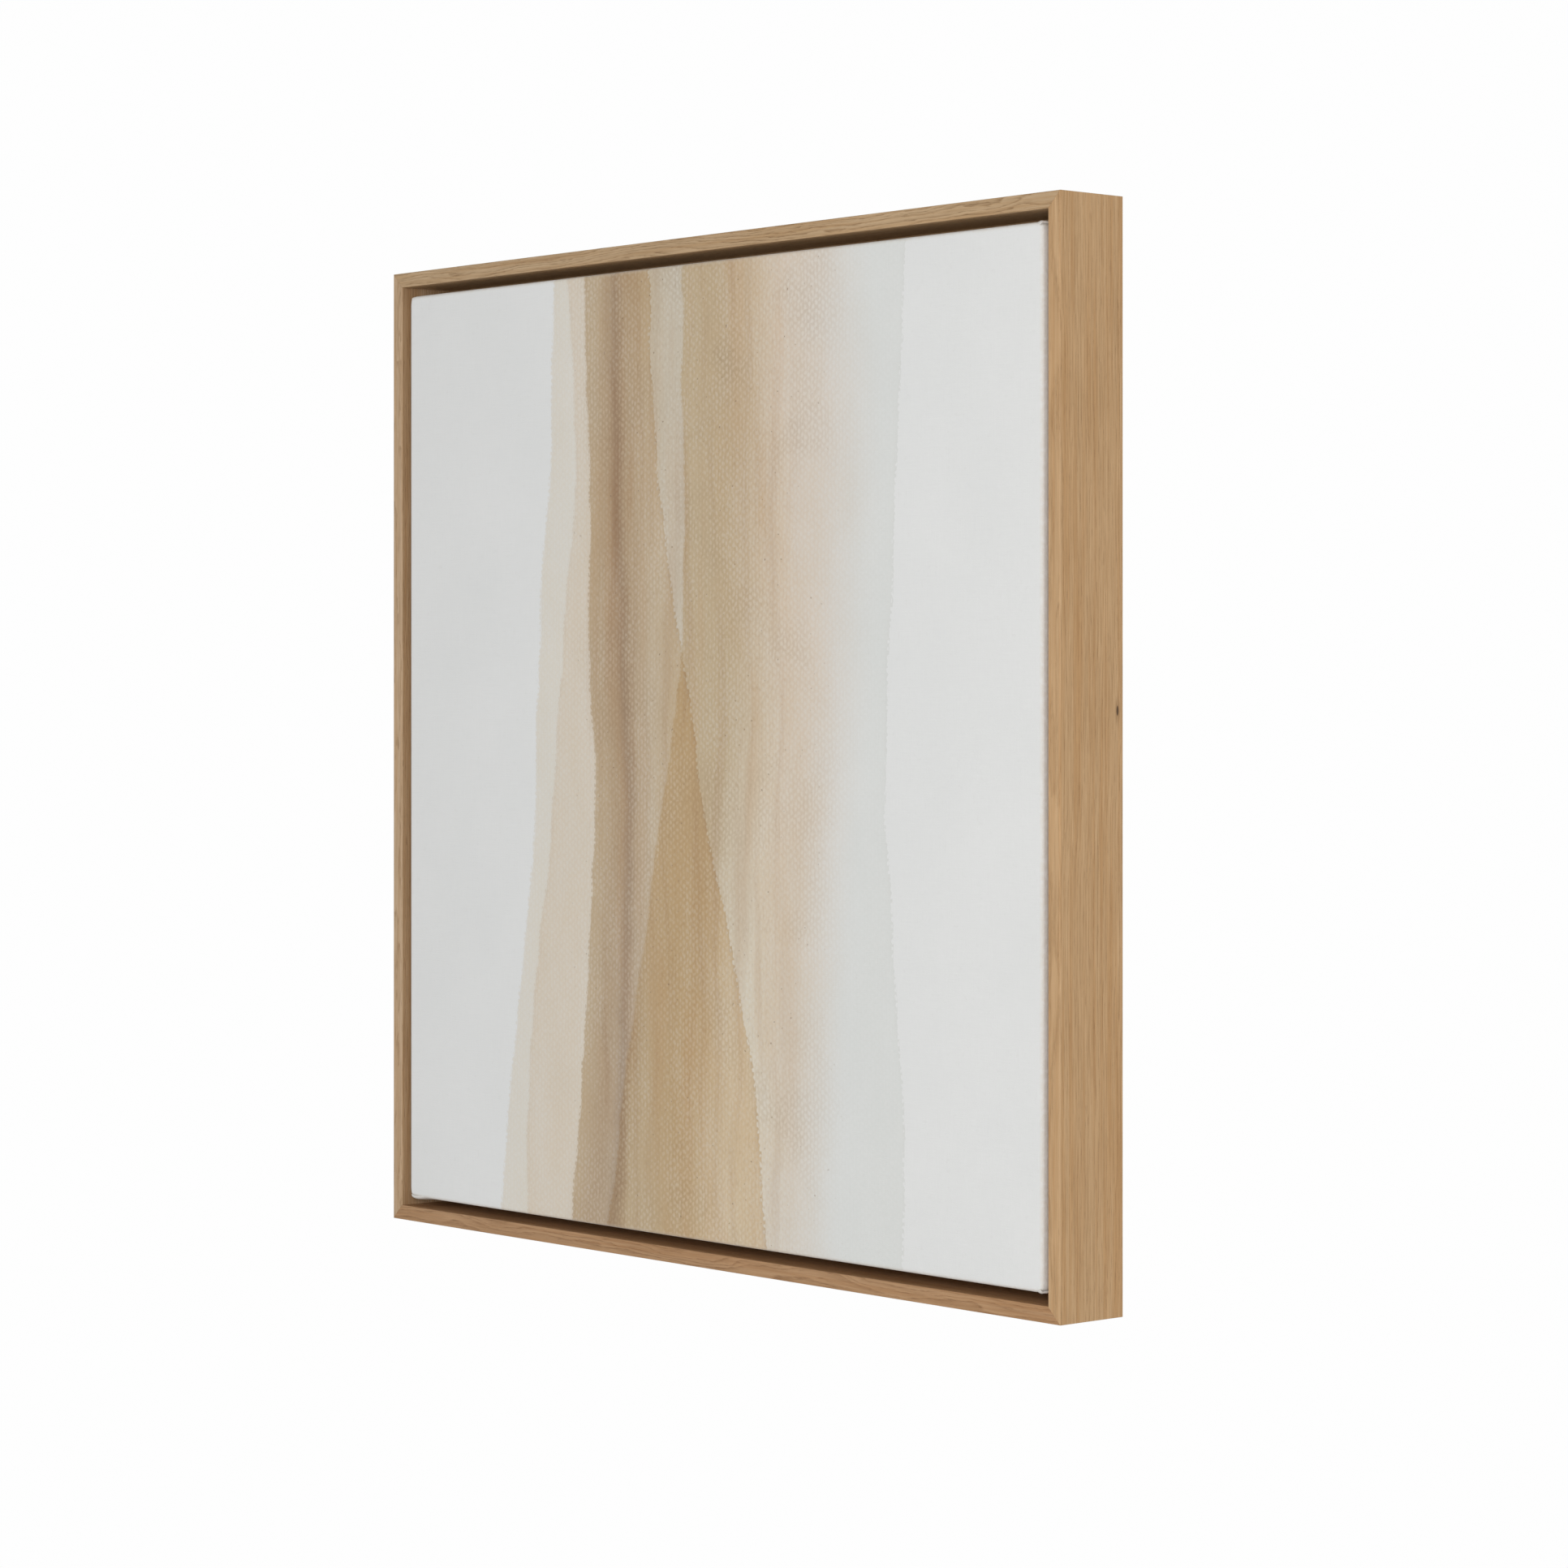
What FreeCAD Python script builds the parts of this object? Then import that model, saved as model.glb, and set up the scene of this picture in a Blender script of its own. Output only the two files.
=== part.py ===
import FreeCAD, Part
import math
import os

import Sketcher

# Floating frame: an oak moulding with an L-shaped section round a canvas on stretcher bars.
# Row frame: origin at the centre of the back (wall) plane, X to the right as seen from the
# front, Z up, the front facing -Y. "Depth" below is the distance forward of the back plane.

SIZES = {
    # The picture and the oak moulding.
    "canvas_size": 600.0,
    "canvas_recess": 2.0,
    "float_gap": 6.5,
    "frame_depth": 50.0,
    "lip_width": 9.5,
    "ledge_width": 26.0,
    "ledge_thickness": 10.0,
    "arris_radius": 0.5,
    "glue_line": 0.05,
    # The cloth and the bars that it is stretched over.
    "cloth": 0.5,
    "flap_width": 36.0,
    "bar_width": 40.0,
    "bar_bevel": 3.5,
    "bead_width": 8.0,
    "bead_radius": 2.0,
    "bar_back_radius": 1.0,
    "bar_corner_cut": 2.5,
    "tongue_thickness": 5.0,
    "tongue_floor": 2.0,
    "back_cheek": 10.5,
    # The wedges that spread the corners of the bars.
    "key_length": 34.0,
    "key_engaged": 20.0,
    "key_nose": 8.0,
    "key_tail": 12.0,
    "key_corner": 1.5,
    "key_clearance": 0.1,
    # The strap hangers and their D rings.
    "hanger_height": 200.0,
    "strap_width": 14.0,
    "strap_length": 42.0,
    "strap_thickness": 1.2,
    "strap_end_radius": 6.5,
    "strap_hole_radius": 1.7,
    "first_hole": 11.0,
    "second_hole": 31.0,
    "ring_wire": 3.0,
    "ring_clearance": 0.05,
    "ring_bar": 18.0,
    "ring_corner": 3.0,
    "ring_leg": 2.0,
    # The fasteners.
    "screw_offset": 120.0,
    "screw_edge": 27.0,
    "screw_hole_radius": 2.1,
    "countersink_radius": 4.0,
    "screw_head_radius": 3.5,
    "screw_rim": 0.3,
    "screw_sink": 0.2,
    "screw_radius": 1.75,
    "screw_length": 30.0,
    "screw_point": 4.0,
    "pan_head_radius": 2.8,
    "pan_head_height": 2.0,
    "pan_head_dome": 0.9,
    "hanger_screw_radius": 1.5,
    "hanger_screw_length": 9.0,
    "hanger_screw_point": 2.0,
    "recess_length": 3.6,
    "recess_width": 0.8,
    "recess_depth": 1.2,
    "nail_leg": 5.0,
    "nail_plate": 0.6,
    "nail_lip_edge": 2.6,
    "nail_lip_depth": 12.0,
    "nail_ledge_edge": 19.0,
    "nail_ledge_depth": 8.0,
    "staple_crown": 10.0,
    "staple_wire": 0.7,
    "staple_leg": 8.0,
    "staple_edge": 26.0,
    "staple_pitch": 50.0,
    "staple_count": 11,
    "staple_lean": 7.0,
}

DOC = FreeCAD.newDocument("floating_frame")
SHEET = DOC.addObject("Spreadsheet::Sheet", "Sizes")
for row, (alias, number) in enumerate(SIZES.items(), start=1):
    SHEET.set(f"A{row}", alias)
    SHEET.set(f"B{row}", str(number))
    SHEET.setAlias(f"B{row}", alias)
DOC.recompute()

# Lengths that follow from the sheet, as formulas that the sketches and features are bound to.
HALF_CANVAS = "(Sizes.canvas_size / 2)"
HALF_OUTER = f"({HALF_CANVAS} + Sizes.float_gap + Sizes.lip_width)"
PROFILE_WIDTH = "(Sizes.lip_width + Sizes.ledge_width)"
HALF_BARS = f"({HALF_CANVAS} - Sizes.cloth)"
CANVAS_BACK = "Sizes.ledge_thickness"
CANVAS_FRONT = "(Sizes.frame_depth - Sizes.canvas_recess)"
BARS_BACK = f"({CANVAS_BACK} + Sizes.cloth)"
BARS_FRONT = f"({CANVAS_FRONT} - Sizes.cloth)"
BACK_LAYER = f"({BARS_BACK} + Sizes.back_cheek)"
MIDDLE = f"({BACK_LAYER} + Sizes.tongue_thickness)"
FRONT_LAYER = f"({MIDDLE} + Sizes.tongue_thickness)"
KEY_SLOPE = "((Sizes.key_tail - Sizes.key_nose) / Sizes.key_length)"
BARREL_RADIUS = "(Sizes.ring_wire / 2 + Sizes.ring_clearance + Sizes.strap_thickness)"
HANGER_X = f"({HALF_OUTER} - {PROFILE_WIDTH} / 2)"

# How far a cutting shape reaches past what it cuts, and how near two lengths are the same.
SPARE = 1.0
TOLERANCE = 1e-4


def size(alias):
    """Read one driving size from the sheet."""
    return float(SHEET.get(alias))


def new_body(name):
    """Start one sub-part."""
    body = DOC.addObject("PartDesign::Body", name)
    body.Label = name
    return body


def new_sketch(body, name, plane, offset="0"):
    """Attach an empty sketch to one of the body's own planes, moved along the plane's normal."""
    support = next(f for f in body.Origin.OriginFeatures if f.Role == plane)
    sketch = body.newObject("Sketcher::SketchObject", name)
    sketch.AttachmentSupport = [(support, "")]
    sketch.MapMode = "FlatFace"
    sketch.setExpression("AttachmentOffset.Base.z", offset)
    return sketch


def bind_point(sketch, geometry, point, across, up):
    """Fix one point of a sketch at two formulas, measured from the sketch's origin."""
    rough = sketch.getPoint(geometry, point)
    for kind, value, formula in (("DistanceX", rough.x, across), ("DistanceY", rough.y, up)):
        index = sketch.addConstraint(Sketcher.Constraint(kind, -1, 1, geometry, point, value))
        name = f"{kind}_{geometry}_{point}"
        sketch.renameConstraint(index, name)
        sketch.setExpression(f"Constraints.{name}", formula)


def bind_value(sketch, constraint, name, formula):
    """Add a driving constraint and bind its value to a formula."""
    index = sketch.addConstraint(constraint)
    sketch.renameConstraint(index, name)
    sketch.setExpression(f"Constraints.{name}", formula)


def polygon(sketch, corners):
    """Draw a closed outline of straight lines; each corner is a pair of formulas."""
    first = sketch.GeometryCount
    count = len(corners)
    turn = 2 * math.pi / count
    rough = [FreeCAD.Vector(math.cos(i * turn), math.sin(i * turn), 0) for i in range(count)]
    for i in range(count):
        sketch.addGeometry(Part.LineSegment(rough[i], rough[(i + 1) % count]))
    for i, (across, up) in enumerate(corners):
        previous = first + (i - 1) % count
        sketch.addConstraint(Sketcher.Constraint("Coincident", first + i, 1, previous, 2))
        bind_point(sketch, first + i, 1, across, up)


def square(sketch, half):
    """Draw a square about the sketch's origin from a formula for half its side."""
    signs = ((1, 1), (-1, 1), (-1, -1), (1, -1))
    polygon(sketch, [(f"{across} * {half}", f"{up} * {half}") for across, up in signs])


def circle(sketch, across, up, radius):
    """Draw a circle from formulas for its centre and radius."""
    index = sketch.addGeometry(Part.Circle(FreeCAD.Vector(0, 0, 0), FreeCAD.Vector(0, 0, 1), SPARE))
    bind_point(sketch, index, 3, across, up)
    bind_value(
        sketch, Sketcher.Constraint("Radius", index, SPARE), f"radius_{index}", radius
    )


def pad(body, sketch, length, side="One side"):
    """Raise a solid from a sketch along its normal, or evenly to both sides of it."""
    feature = body.newObject("PartDesign::Pad", f"{sketch.Name}_pad")
    feature.Profile = sketch
    feature.SideType = side
    feature.setExpression("Length", length)
    DOC.recompute()
    return feature


def pocket(body, sketch, length=None):
    """Cut a sketch into the body: through both ways, or to a length against its normal."""
    DOC.recompute()
    before = body.Shape.Volume
    feature = body.newObject("PartDesign::Pocket", f"{sketch.Name}_pocket")
    feature.Profile = sketch
    if length is None:
        feature.Type = "ThroughAll"
        feature.SideType = "Symmetric"
    else:
        feature.Type = "Length"
        feature.setExpression("Length", length)
    DOC.recompute()
    if body.Shape.Volume > before - TOLERANCE:
        raise RuntimeError(f"{feature.Name} cut nothing")
    return feature


def round_edges(body, name, radius, chosen):
    """Round every edge whose two ends pass a test of their positions."""
    DOC.recompute()
    base = body.Tip
    names = [
        f"Edge{i}"
        for i, edge in enumerate(base.Shape.Edges, start=1)
        if len(edge.Vertexes) == 2 and chosen(edge.Vertexes[0].Point, edge.Vertexes[1].Point)
    ]
    if not names:
        raise RuntimeError(f"{name} found no edge")
    feature = body.newObject("PartDesign::Fillet", name)
    feature.Base = (base, names)
    feature.setExpression("Radius", radius)
    DOC.recompute()
    return feature


def near(a, b):
    """Tell whether two lengths are the same."""
    return abs(a - b) < TOLERANCE


def place(piece, rotation, x="0", y="0", z="0"):
    """Turn a sub-part and bind its position to formulas."""
    piece.Placement = FreeCAD.Placement(FreeCAD.Vector(0, 0, 0), rotation)
    for axis, formula in (("x", x), ("y", y), ("z", z)):
        piece.setExpression(f"Placement.Base.{axis}", formula)


def group(name, shapes):
    """Hold many equal fasteners, each a separate solid, as one sub-part."""
    piece = DOC.addObject("Part::Feature", name)
    piece.Label = name
    piece.Shape = Part.makeCompound(shapes)
    return piece


def cut_by(name, blank, tools):
    """Cut the seats of the fasteners out of a wooden or cloth piece."""
    piece = DOC.addObject("Part::Cut", name)
    piece.Label = name
    piece.Base = blank
    piece.Tool = tools
    DOC.recompute()
    return piece


def turned(shape, degrees):
    """Copy a shape turned about the frame's middle, in the plane of the picture."""
    copy = shape.copy()
    copy.rotate(FreeCAD.Vector(0, 0, 0), FreeCAD.Vector(0, 1, 0), degrees)
    return copy


def moved(shape, x, y, z):
    """Copy a shape moved by three distances."""
    copy = shape.copy()
    copy.translate(FreeCAD.Vector(x, y, z))
    return copy


# Every rail and bar is drawn as the bottom one and turned about Y to its own side.
SIDE_TURNS = {"bottom": 0.0, "right": -90.0, "top": 180.0, "left": 90.0}


def side_rotation(side):
    """Give the turn that carries the bottom piece to a side."""
    return FreeCAD.Rotation(FreeCAD.Vector(0, 1, 0), SIDE_TURNS[side])


def screw_blank(name, profile, recess_floor):
    """Turn a screw about Y with its point forward, and press a cross recess in its head."""
    body = new_body(name)
    sketch = new_sketch(body, f"{name}_profile", "XY_Plane")
    polygon(sketch, profile)
    feature = body.newObject("PartDesign::Revolution", f"{name}_turned")
    feature.Profile = sketch
    feature.ReferenceAxis = (sketch, ["V_Axis"])
    feature.Angle = 360
    half_length = "Sizes.recess_length / 2"
    half_width = "Sizes.recess_width / 2"
    cross = new_sketch(body, f"{name}_recess", "XZ_Plane", recess_floor)
    corners = []
    for x_sign, z_sign in ((1, 1), (-1, 1), (-1, -1), (1, -1)):
        long_x = (f"{x_sign} * {half_length}", f"{z_sign} * {half_width}")
        inner = (f"{x_sign} * {half_width}", f"{z_sign} * {half_width}")
        long_z = (f"{x_sign} * {half_width}", f"{z_sign} * {half_length}")
        arm = [long_x, inner, long_z]
        corners += arm if x_sign == z_sign else arm[::-1]
    polygon(cross, corners)
    pocket(body, cross, "Sizes.recess_depth")
    return body


def countersunk_screw():
    """A wood screw with its head just below the back of the ledge."""
    head_top = "-Sizes.screw_sink"
    rim = "-(Sizes.screw_sink + Sizes.screw_rim)"
    cone = f"{rim} - (Sizes.screw_head_radius - Sizes.screw_radius)"
    tip = "-(Sizes.screw_sink + Sizes.screw_length)"
    profile = [
        ("0", head_top),
        ("Sizes.screw_head_radius", head_top),
        ("Sizes.screw_head_radius", rim),
        ("Sizes.screw_radius", cone),
        ("Sizes.screw_radius", f"{tip} + Sizes.screw_point"),
        ("0", tip),
    ]
    return screw_blank("countersunk_screw", profile, "Sizes.screw_sink + Sizes.recess_depth")


def pan_head_screw():
    """A pan-head wood screw whose head bears on the plane y = 0."""
    dome = "Sizes.pan_head_dome"
    tip = "-Sizes.hanger_screw_length"
    profile = [
        ("0", "Sizes.pan_head_height"),
        (f"Sizes.pan_head_radius - {dome}", "Sizes.pan_head_height"),
        ("Sizes.pan_head_radius", f"Sizes.pan_head_height - {dome}"),
        ("Sizes.pan_head_radius", "0"),
        ("Sizes.hanger_screw_radius", "0"),
        ("Sizes.hanger_screw_radius", f"{tip} + Sizes.hanger_screw_point"),
        ("0", tip),
    ]
    recess_floor = "Sizes.recess_depth - Sizes.pan_head_height"
    return screw_blank("pan_head_screw", profile, recess_floor)


def canvas_screws():
    """Two screws through the ledge of each rail into the stretcher bar in front of it."""
    one = countersunk_screw().Shape
    reach = size("canvas_size") / 2 + size("float_gap") + size("lip_width") - size("screw_edge")
    shapes = [
        turned(moved(one, along * size("screw_offset"), 0, -reach), turn)
        for turn in SIDE_TURNS.values()
        for along in (-1, 1)
    ]
    return group("canvas_mounting_screws", shapes)


def hanger_screws():
    """Two screws through each folded strap into the side rail."""
    one = pan_head_screw().Shape
    outer = size("canvas_size") / 2 + size("float_gap") + size("lip_width")
    x = outer - (size("lip_width") + size("ledge_width")) / 2
    y = 2 * size("strap_thickness")
    shapes = [
        moved(one, side * x, y, size("hanger_height") - size(hole))
        for side in (-1, 1)
        for hole in ("first_hole", "second_hole")
    ]
    return group("hanger_screws", shapes)


def staple():
    """One wire staple: a crown on the cloth at y = 0 and two legs in the pine."""
    crown = size("staple_crown")
    wire = size("staple_wire")
    leg = size("staple_leg")
    bridge = Part.makeBox(crown, wire, wire, FreeCAD.Vector(-crown / 2, 0, -wire / 2))
    legs = [
        Part.makeBox(wire, leg + wire, wire, FreeCAD.Vector(x, -leg, -wire / 2))
        for x in (-crown / 2, crown / 2 - wire)
    ]
    return bridge.multiFuse(legs).removeSplitter()


def canvas_staples():
    """A row of staples down each side of the cloth's back flap, each leaning a little."""
    one = staple()
    reach = size("canvas_size") / 2 - size("staple_edge")
    count = int(size("staple_count"))
    shapes = []
    for side, turn in enumerate(SIDE_TURNS.values()):
        for i in range(count):
            lean = size("staple_lean") * math.sin(2.3 * i + 1.7 * side)
            along = (i - (count - 1) / 2) * size("staple_pitch")
            leaning = moved(turned(one, lean), along, -size("ledge_thickness"), -reach)
            shapes.append(turned(leaning, turn))
    return group("canvas_staples", shapes)


def nail_plate(name, x_size, z_size, edge, depth):
    """One leg of a V nail in the top right mitre, measured in from the outer corner."""
    plate = DOC.addObject("Part::Box", name)
    plate.setExpression("Length", x_size)
    plate.setExpression("Height", z_size)
    plate.setExpression("Width", depth)
    place(
        plate,
        FreeCAD.Rotation(0, 0, 0),
        f"{HALF_OUTER} - {edge} - {x_size}",
        f"-{depth}",
        f"{HALF_OUTER} - {edge} - {z_size}",
    )
    return plate


def mirrored(name, source, normal):
    """Mirror a shape across a plane through the frame's middle."""
    mirror = DOC.addObject("Part::Mirroring", name)
    mirror.Source = source
    mirror.Normal = FreeCAD.Vector(*normal)
    return mirror


def fused(name, shapes):
    """Join shapes, or hold them together where they stand apart."""
    piece = DOC.addObject("Part::MultiFuse", name)
    piece.Label = name
    piece.Shapes = shapes
    DOC.recompute()
    return piece


def corner_v_nails():
    """Two V nails in each mitre: a deep one in the lip and a short one in the ledge."""
    plates = []
    for where in ("lip", "ledge"):
        edge = f"Sizes.nail_{where}_edge"
        depth = f"Sizes.nail_{where}_depth"
        leg = "Sizes.nail_leg"
        thick = "Sizes.nail_plate"
        plates.append(nail_plate(f"nail_{where}_across", leg, thick, edge, depth))
        plates.append(nail_plate(f"nail_{where}_down", thick, leg, edge, depth))
    one_corner = fused("nails_top_right", plates)
    right = fused("nails_right", [one_corner, mirrored("nails_low", one_corner, (0, 0, 1))])
    return fused("corner_v_nails", [right, mirrored("nails_left", right, (1, 0, 0))])


def rail_blank(side):
    """One rail: an L-shaped moulding with rounded arrises, mitred, bored for two screws."""
    body = new_body(f"rail_{side}_blank")
    outer = f"-{HALF_OUTER}"
    lip_inside = f"{outer} + Sizes.lip_width"
    inner = f"{outer} + {PROFILE_WIDTH}"
    section = new_sketch(body, f"rail_{side}_section", "YZ_Plane")
    polygon(
        section,
        [
            ("0", outer),
            ("-Sizes.frame_depth", outer),
            ("-Sizes.frame_depth", lip_inside),
            ("-Sizes.ledge_thickness", lip_inside),
            ("-Sizes.ledge_thickness", inner),
            ("0", inner),
        ],
    )
    pad(body, section, f"2 * {HALF_OUTER}", "Symmetric")

    half_outer = size("canvas_size") / 2 + size("float_gap") + size("lip_width")
    inside_z = size("lip_width") - half_outer

    def long_and_convex(a, b):
        in_the_rebate = near(a.y, -size("ledge_thickness")) and near(a.z, inside_z)
        return abs(a.x - b.x) > SPARE and not in_the_rebate

    round_edges(body, f"rail_{side}_arrises", "Sizes.arris_radius", long_and_convex)

    mitre = new_sketch(body, f"rail_{side}_mitre", "XZ_Plane")
    for sign in (1, -1):
        low = f"{HALF_OUTER} + {SPARE}"
        high = f"{HALF_OUTER} - {PROFILE_WIDTH} - {SPARE}"
        polygon(
            mitre,
            [
                (f"{sign} * ({low} - Sizes.glue_line)", f"-({low})"),
                (f"{sign} * ({low} + {SPARE})", f"-({low})"),
                (f"{sign} * ({low} + {SPARE})", f"-({high})"),
                (f"{sign} * ({high} - Sizes.glue_line)", f"-({high})"),
            ],
        )
    pocket(body, mitre)

    centres = new_sketch(body, f"rail_{side}_holes", "XZ_Plane")
    for sign in (1, -1):
        across = f"{sign} * Sizes.screw_offset"
        circle(centres, across, f"{outer} + Sizes.screw_edge", "Sizes.screw_hole_radius")
    DOC.recompute()
    solid_volume = body.Shape.Volume
    hole = body.newObject("PartDesign::Hole", f"rail_{side}_screw_holes")
    hole.Profile = centres
    hole.ThreadType = "None"
    hole.DepthType = "ThroughAll"
    hole.HoleCutType = "Countersink"
    hole.HoleCutCustomValues = True
    hole.Reversed = True
    hole.setExpression("Diameter", "2 * Sizes.screw_hole_radius")
    hole.setExpression("HoleCutDiameter", "2 * Sizes.countersink_radius")
    hole.HoleCutCountersinkAngle = 90
    DOC.recompute()
    if body.Shape.Volume > solid_volume - TOLERANCE:
        raise RuntimeError(f"{hole.Name} cut nothing")
    place(body, side_rotation(side))
    DOC.recompute()
    return body


def bar_blank(side, tongue_in_front):
    """One stretcher bar: mitred cheeks, a tongue layer and a slot layer between them."""
    body = new_body(f"stretcher_bar_{side}_blank")
    outer = f"-{HALF_BARS}"
    inner = f"({outer} + Sizes.bar_width)"
    floor = f"({outer} + Sizes.tongue_floor)"
    mitred = [
        (HALF_BARS, outer),
        (f"-{inner}", inner),
    ]
    tongue = [
        (HALF_BARS, outer),
        (f"-{floor}", floor),
        (f"-{floor}", inner),
    ]
    slot_width = "(Sizes.bar_width + Sizes.key_nose + 2 * Sizes.key_clearance)"
    past_nose = "(Sizes.tongue_floor - Sizes.bar_width + Sizes.key_engaged)"
    at_floor = f"({slot_width} + {past_nose} * {KEY_SLOPE})"
    at_edge = f"({slot_width} + Sizes.key_engaged * {KEY_SLOPE})"
    slot = [
        (HALF_BARS, outer),
        (f"-{floor}", floor),
        (f"{HALF_BARS} - {at_floor}", floor),
        (f"{HALF_BARS} - {at_edge}", inner),
    ]
    back_half, front_half = (slot, tongue) if tongue_in_front else (tongue, slot)
    layers = [
        ("back_cheek", mitred, BARS_BACK, BACK_LAYER),
        ("back_half", back_half, BACK_LAYER, MIDDLE),
        ("front_half", front_half, MIDDLE, FRONT_LAYER),
        ("front_cheek", mitred, FRONT_LAYER, BARS_FRONT),
    ]
    for name, right_end, start, stop in layers:
        sketch = new_sketch(body, f"bar_{side}_{name}", "XZ_Plane", start)
        left_end = [(f"-({x})", z) for x, z in reversed(right_end)]
        polygon(sketch, right_end + left_end)
        pad(body, sketch, f"{stop} - {start}")

    bevel = new_sketch(body, f"bar_{side}_bevel", "YZ_Plane")
    bead = f"{outer} + Sizes.bead_width"
    slope = "Sizes.bar_bevel / (Sizes.bar_width - Sizes.bead_width)"
    past = f"{inner} + {SPARE}"
    polygon(
        bevel,
        [
            (f"-{BARS_FRONT} - {SPARE}", bead),
            (f"-{BARS_FRONT}", bead),
            (f"-{BARS_FRONT} + Sizes.bar_bevel + {SPARE} * {slope}", past),
            (f"-{BARS_FRONT} - {SPARE}", past),
        ],
    )
    pocket(body, bevel)

    corner = new_sketch(body, f"bar_{side}_corner_cut", "XZ_Plane")
    for sign in (1, -1):
        polygon(
            corner,
            [
                (f"{sign} * ({HALF_BARS} + {SPARE})", f"{outer} - {SPARE}"),
                (f"{sign} * ({HALF_BARS} + {SPARE})", f"{outer} + Sizes.bar_corner_cut + {SPARE}"),
                (f"{sign} * ({HALF_BARS} - Sizes.bar_corner_cut - {SPARE})", f"{outer} - {SPARE}"),
            ],
        )
    pocket(body, corner)

    half_bars = size("canvas_size") / 2 - size("cloth")
    front = size("frame_depth") - size("canvas_recess") - size("cloth")
    back = size("ledge_thickness") + size("cloth")
    for end, depth, radius in (
        ("front", front, "Sizes.bead_radius"),
        ("back", back, "Sizes.bar_back_radius"),
    ):
        round_edges(
            body,
            f"bar_{side}_{end}_edge",
            radius,
            lambda a, b: all(near(p.y, -depth) and near(p.z, -half_bars) for p in (a, b)),
        )
    place(body, side_rotation(side))
    DOC.recompute()
    return body


def rounded_block(name, half, back, front, back_radius, front_radius):
    """A square block in the picture's plane, rounded along its front and back edges."""
    body = new_body(name)
    sketch = new_sketch(body, f"{name}_outline", "XZ_Plane", back)
    square(sketch, half)
    pad(body, sketch, f"{front} - {back}")
    depths = [vertex.Point.y for vertex in body.Shape.Vertexes]
    for end, depth, radius in (
        ("front", min(depths), front_radius),
        ("back", max(depths), back_radius),
    ):
        round_edges(
            body,
            f"{name}_{end}_edges",
            radius,
            lambda a, b: near(a.y, depth) and near(b.y, depth),
        )
    return body


def canvas_blank():
    """The cloth: a thin front, four sides and a flap folded behind the bars."""
    cloth_block = rounded_block(
        "cloth_block",
        HALF_CANVAS,
        CANVAS_BACK,
        CANVAS_FRONT,
        "Sizes.bar_back_radius + Sizes.cloth",
        "Sizes.bead_radius + Sizes.cloth",
    )
    hollow = rounded_block(
        "cloth_hollow",
        HALF_BARS,
        BARS_BACK,
        BARS_FRONT,
        "Sizes.bar_back_radius",
        "Sizes.bead_radius",
    )
    opening = new_sketch(hollow, "cloth_opening", "XZ_Plane", f"{CANVAS_BACK} - {SPARE}")
    square(opening, f"({HALF_CANVAS} - Sizes.flap_width)")
    pad(hollow, opening, f"Sizes.cloth + 2 * {SPARE}")
    return cut_by("cloth_shell", cloth_block, hollow)


def tension_key(name, x_sign, z_sign, in_side_bar):
    """One wedge: its straight edge lies along the neighbouring bar, its nose in the slot."""
    body = new_body(name)
    tail = "(Sizes.key_length - Sizes.key_engaged)"
    cut = "Sizes.key_corner"
    outline = new_sketch(body, f"{name}_outline", "XZ_Plane")
    polygon(
        outline,
        [
            (f"-Sizes.key_engaged + {cut}", "0"),
            (tail, "0"),
            (tail, f"Sizes.key_tail - {cut}"),
            (f"{tail} - {cut}", f"Sizes.key_tail - {cut} * {KEY_SLOPE}"),
            (f"-Sizes.key_engaged + {cut}", f"Sizes.key_nose + {cut} * {KEY_SLOPE}"),
            ("-Sizes.key_engaged", f"Sizes.key_nose - {cut}"),
            ("-Sizes.key_engaged", cut),
        ],
    )
    pad(body, outline, "Sizes.tongue_thickness - 2 * Sizes.key_clearance", "Symmetric")

    # Local X is the way the wedge is drawn out; local Z points away from its straight edge.
    inward = FreeCAD.Vector(-x_sign, 0, 0)
    along = FreeCAD.Vector(0, 0, -z_sign)
    outer_x = f"({HALF_BARS} - Sizes.bar_width)"
    drawn, across = (inward, along) if in_side_bar else (along, inward)
    rotation = FreeCAD.Rotation(drawn, across.cross(drawn), across, "XZY")
    back_by = "0" if in_side_bar else "Sizes.key_clearance"
    down_by = "Sizes.key_clearance" if in_side_bar else "0"
    layer = "+" if in_side_bar else "-"
    place(
        body,
        rotation,
        f"{x_sign} * ({outer_x} - {back_by})",
        f"-({MIDDLE} {layer} Sizes.tongue_thickness / 2)",
        f"{z_sign} * ({outer_x} - {down_by})",
    )
    return body


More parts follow.
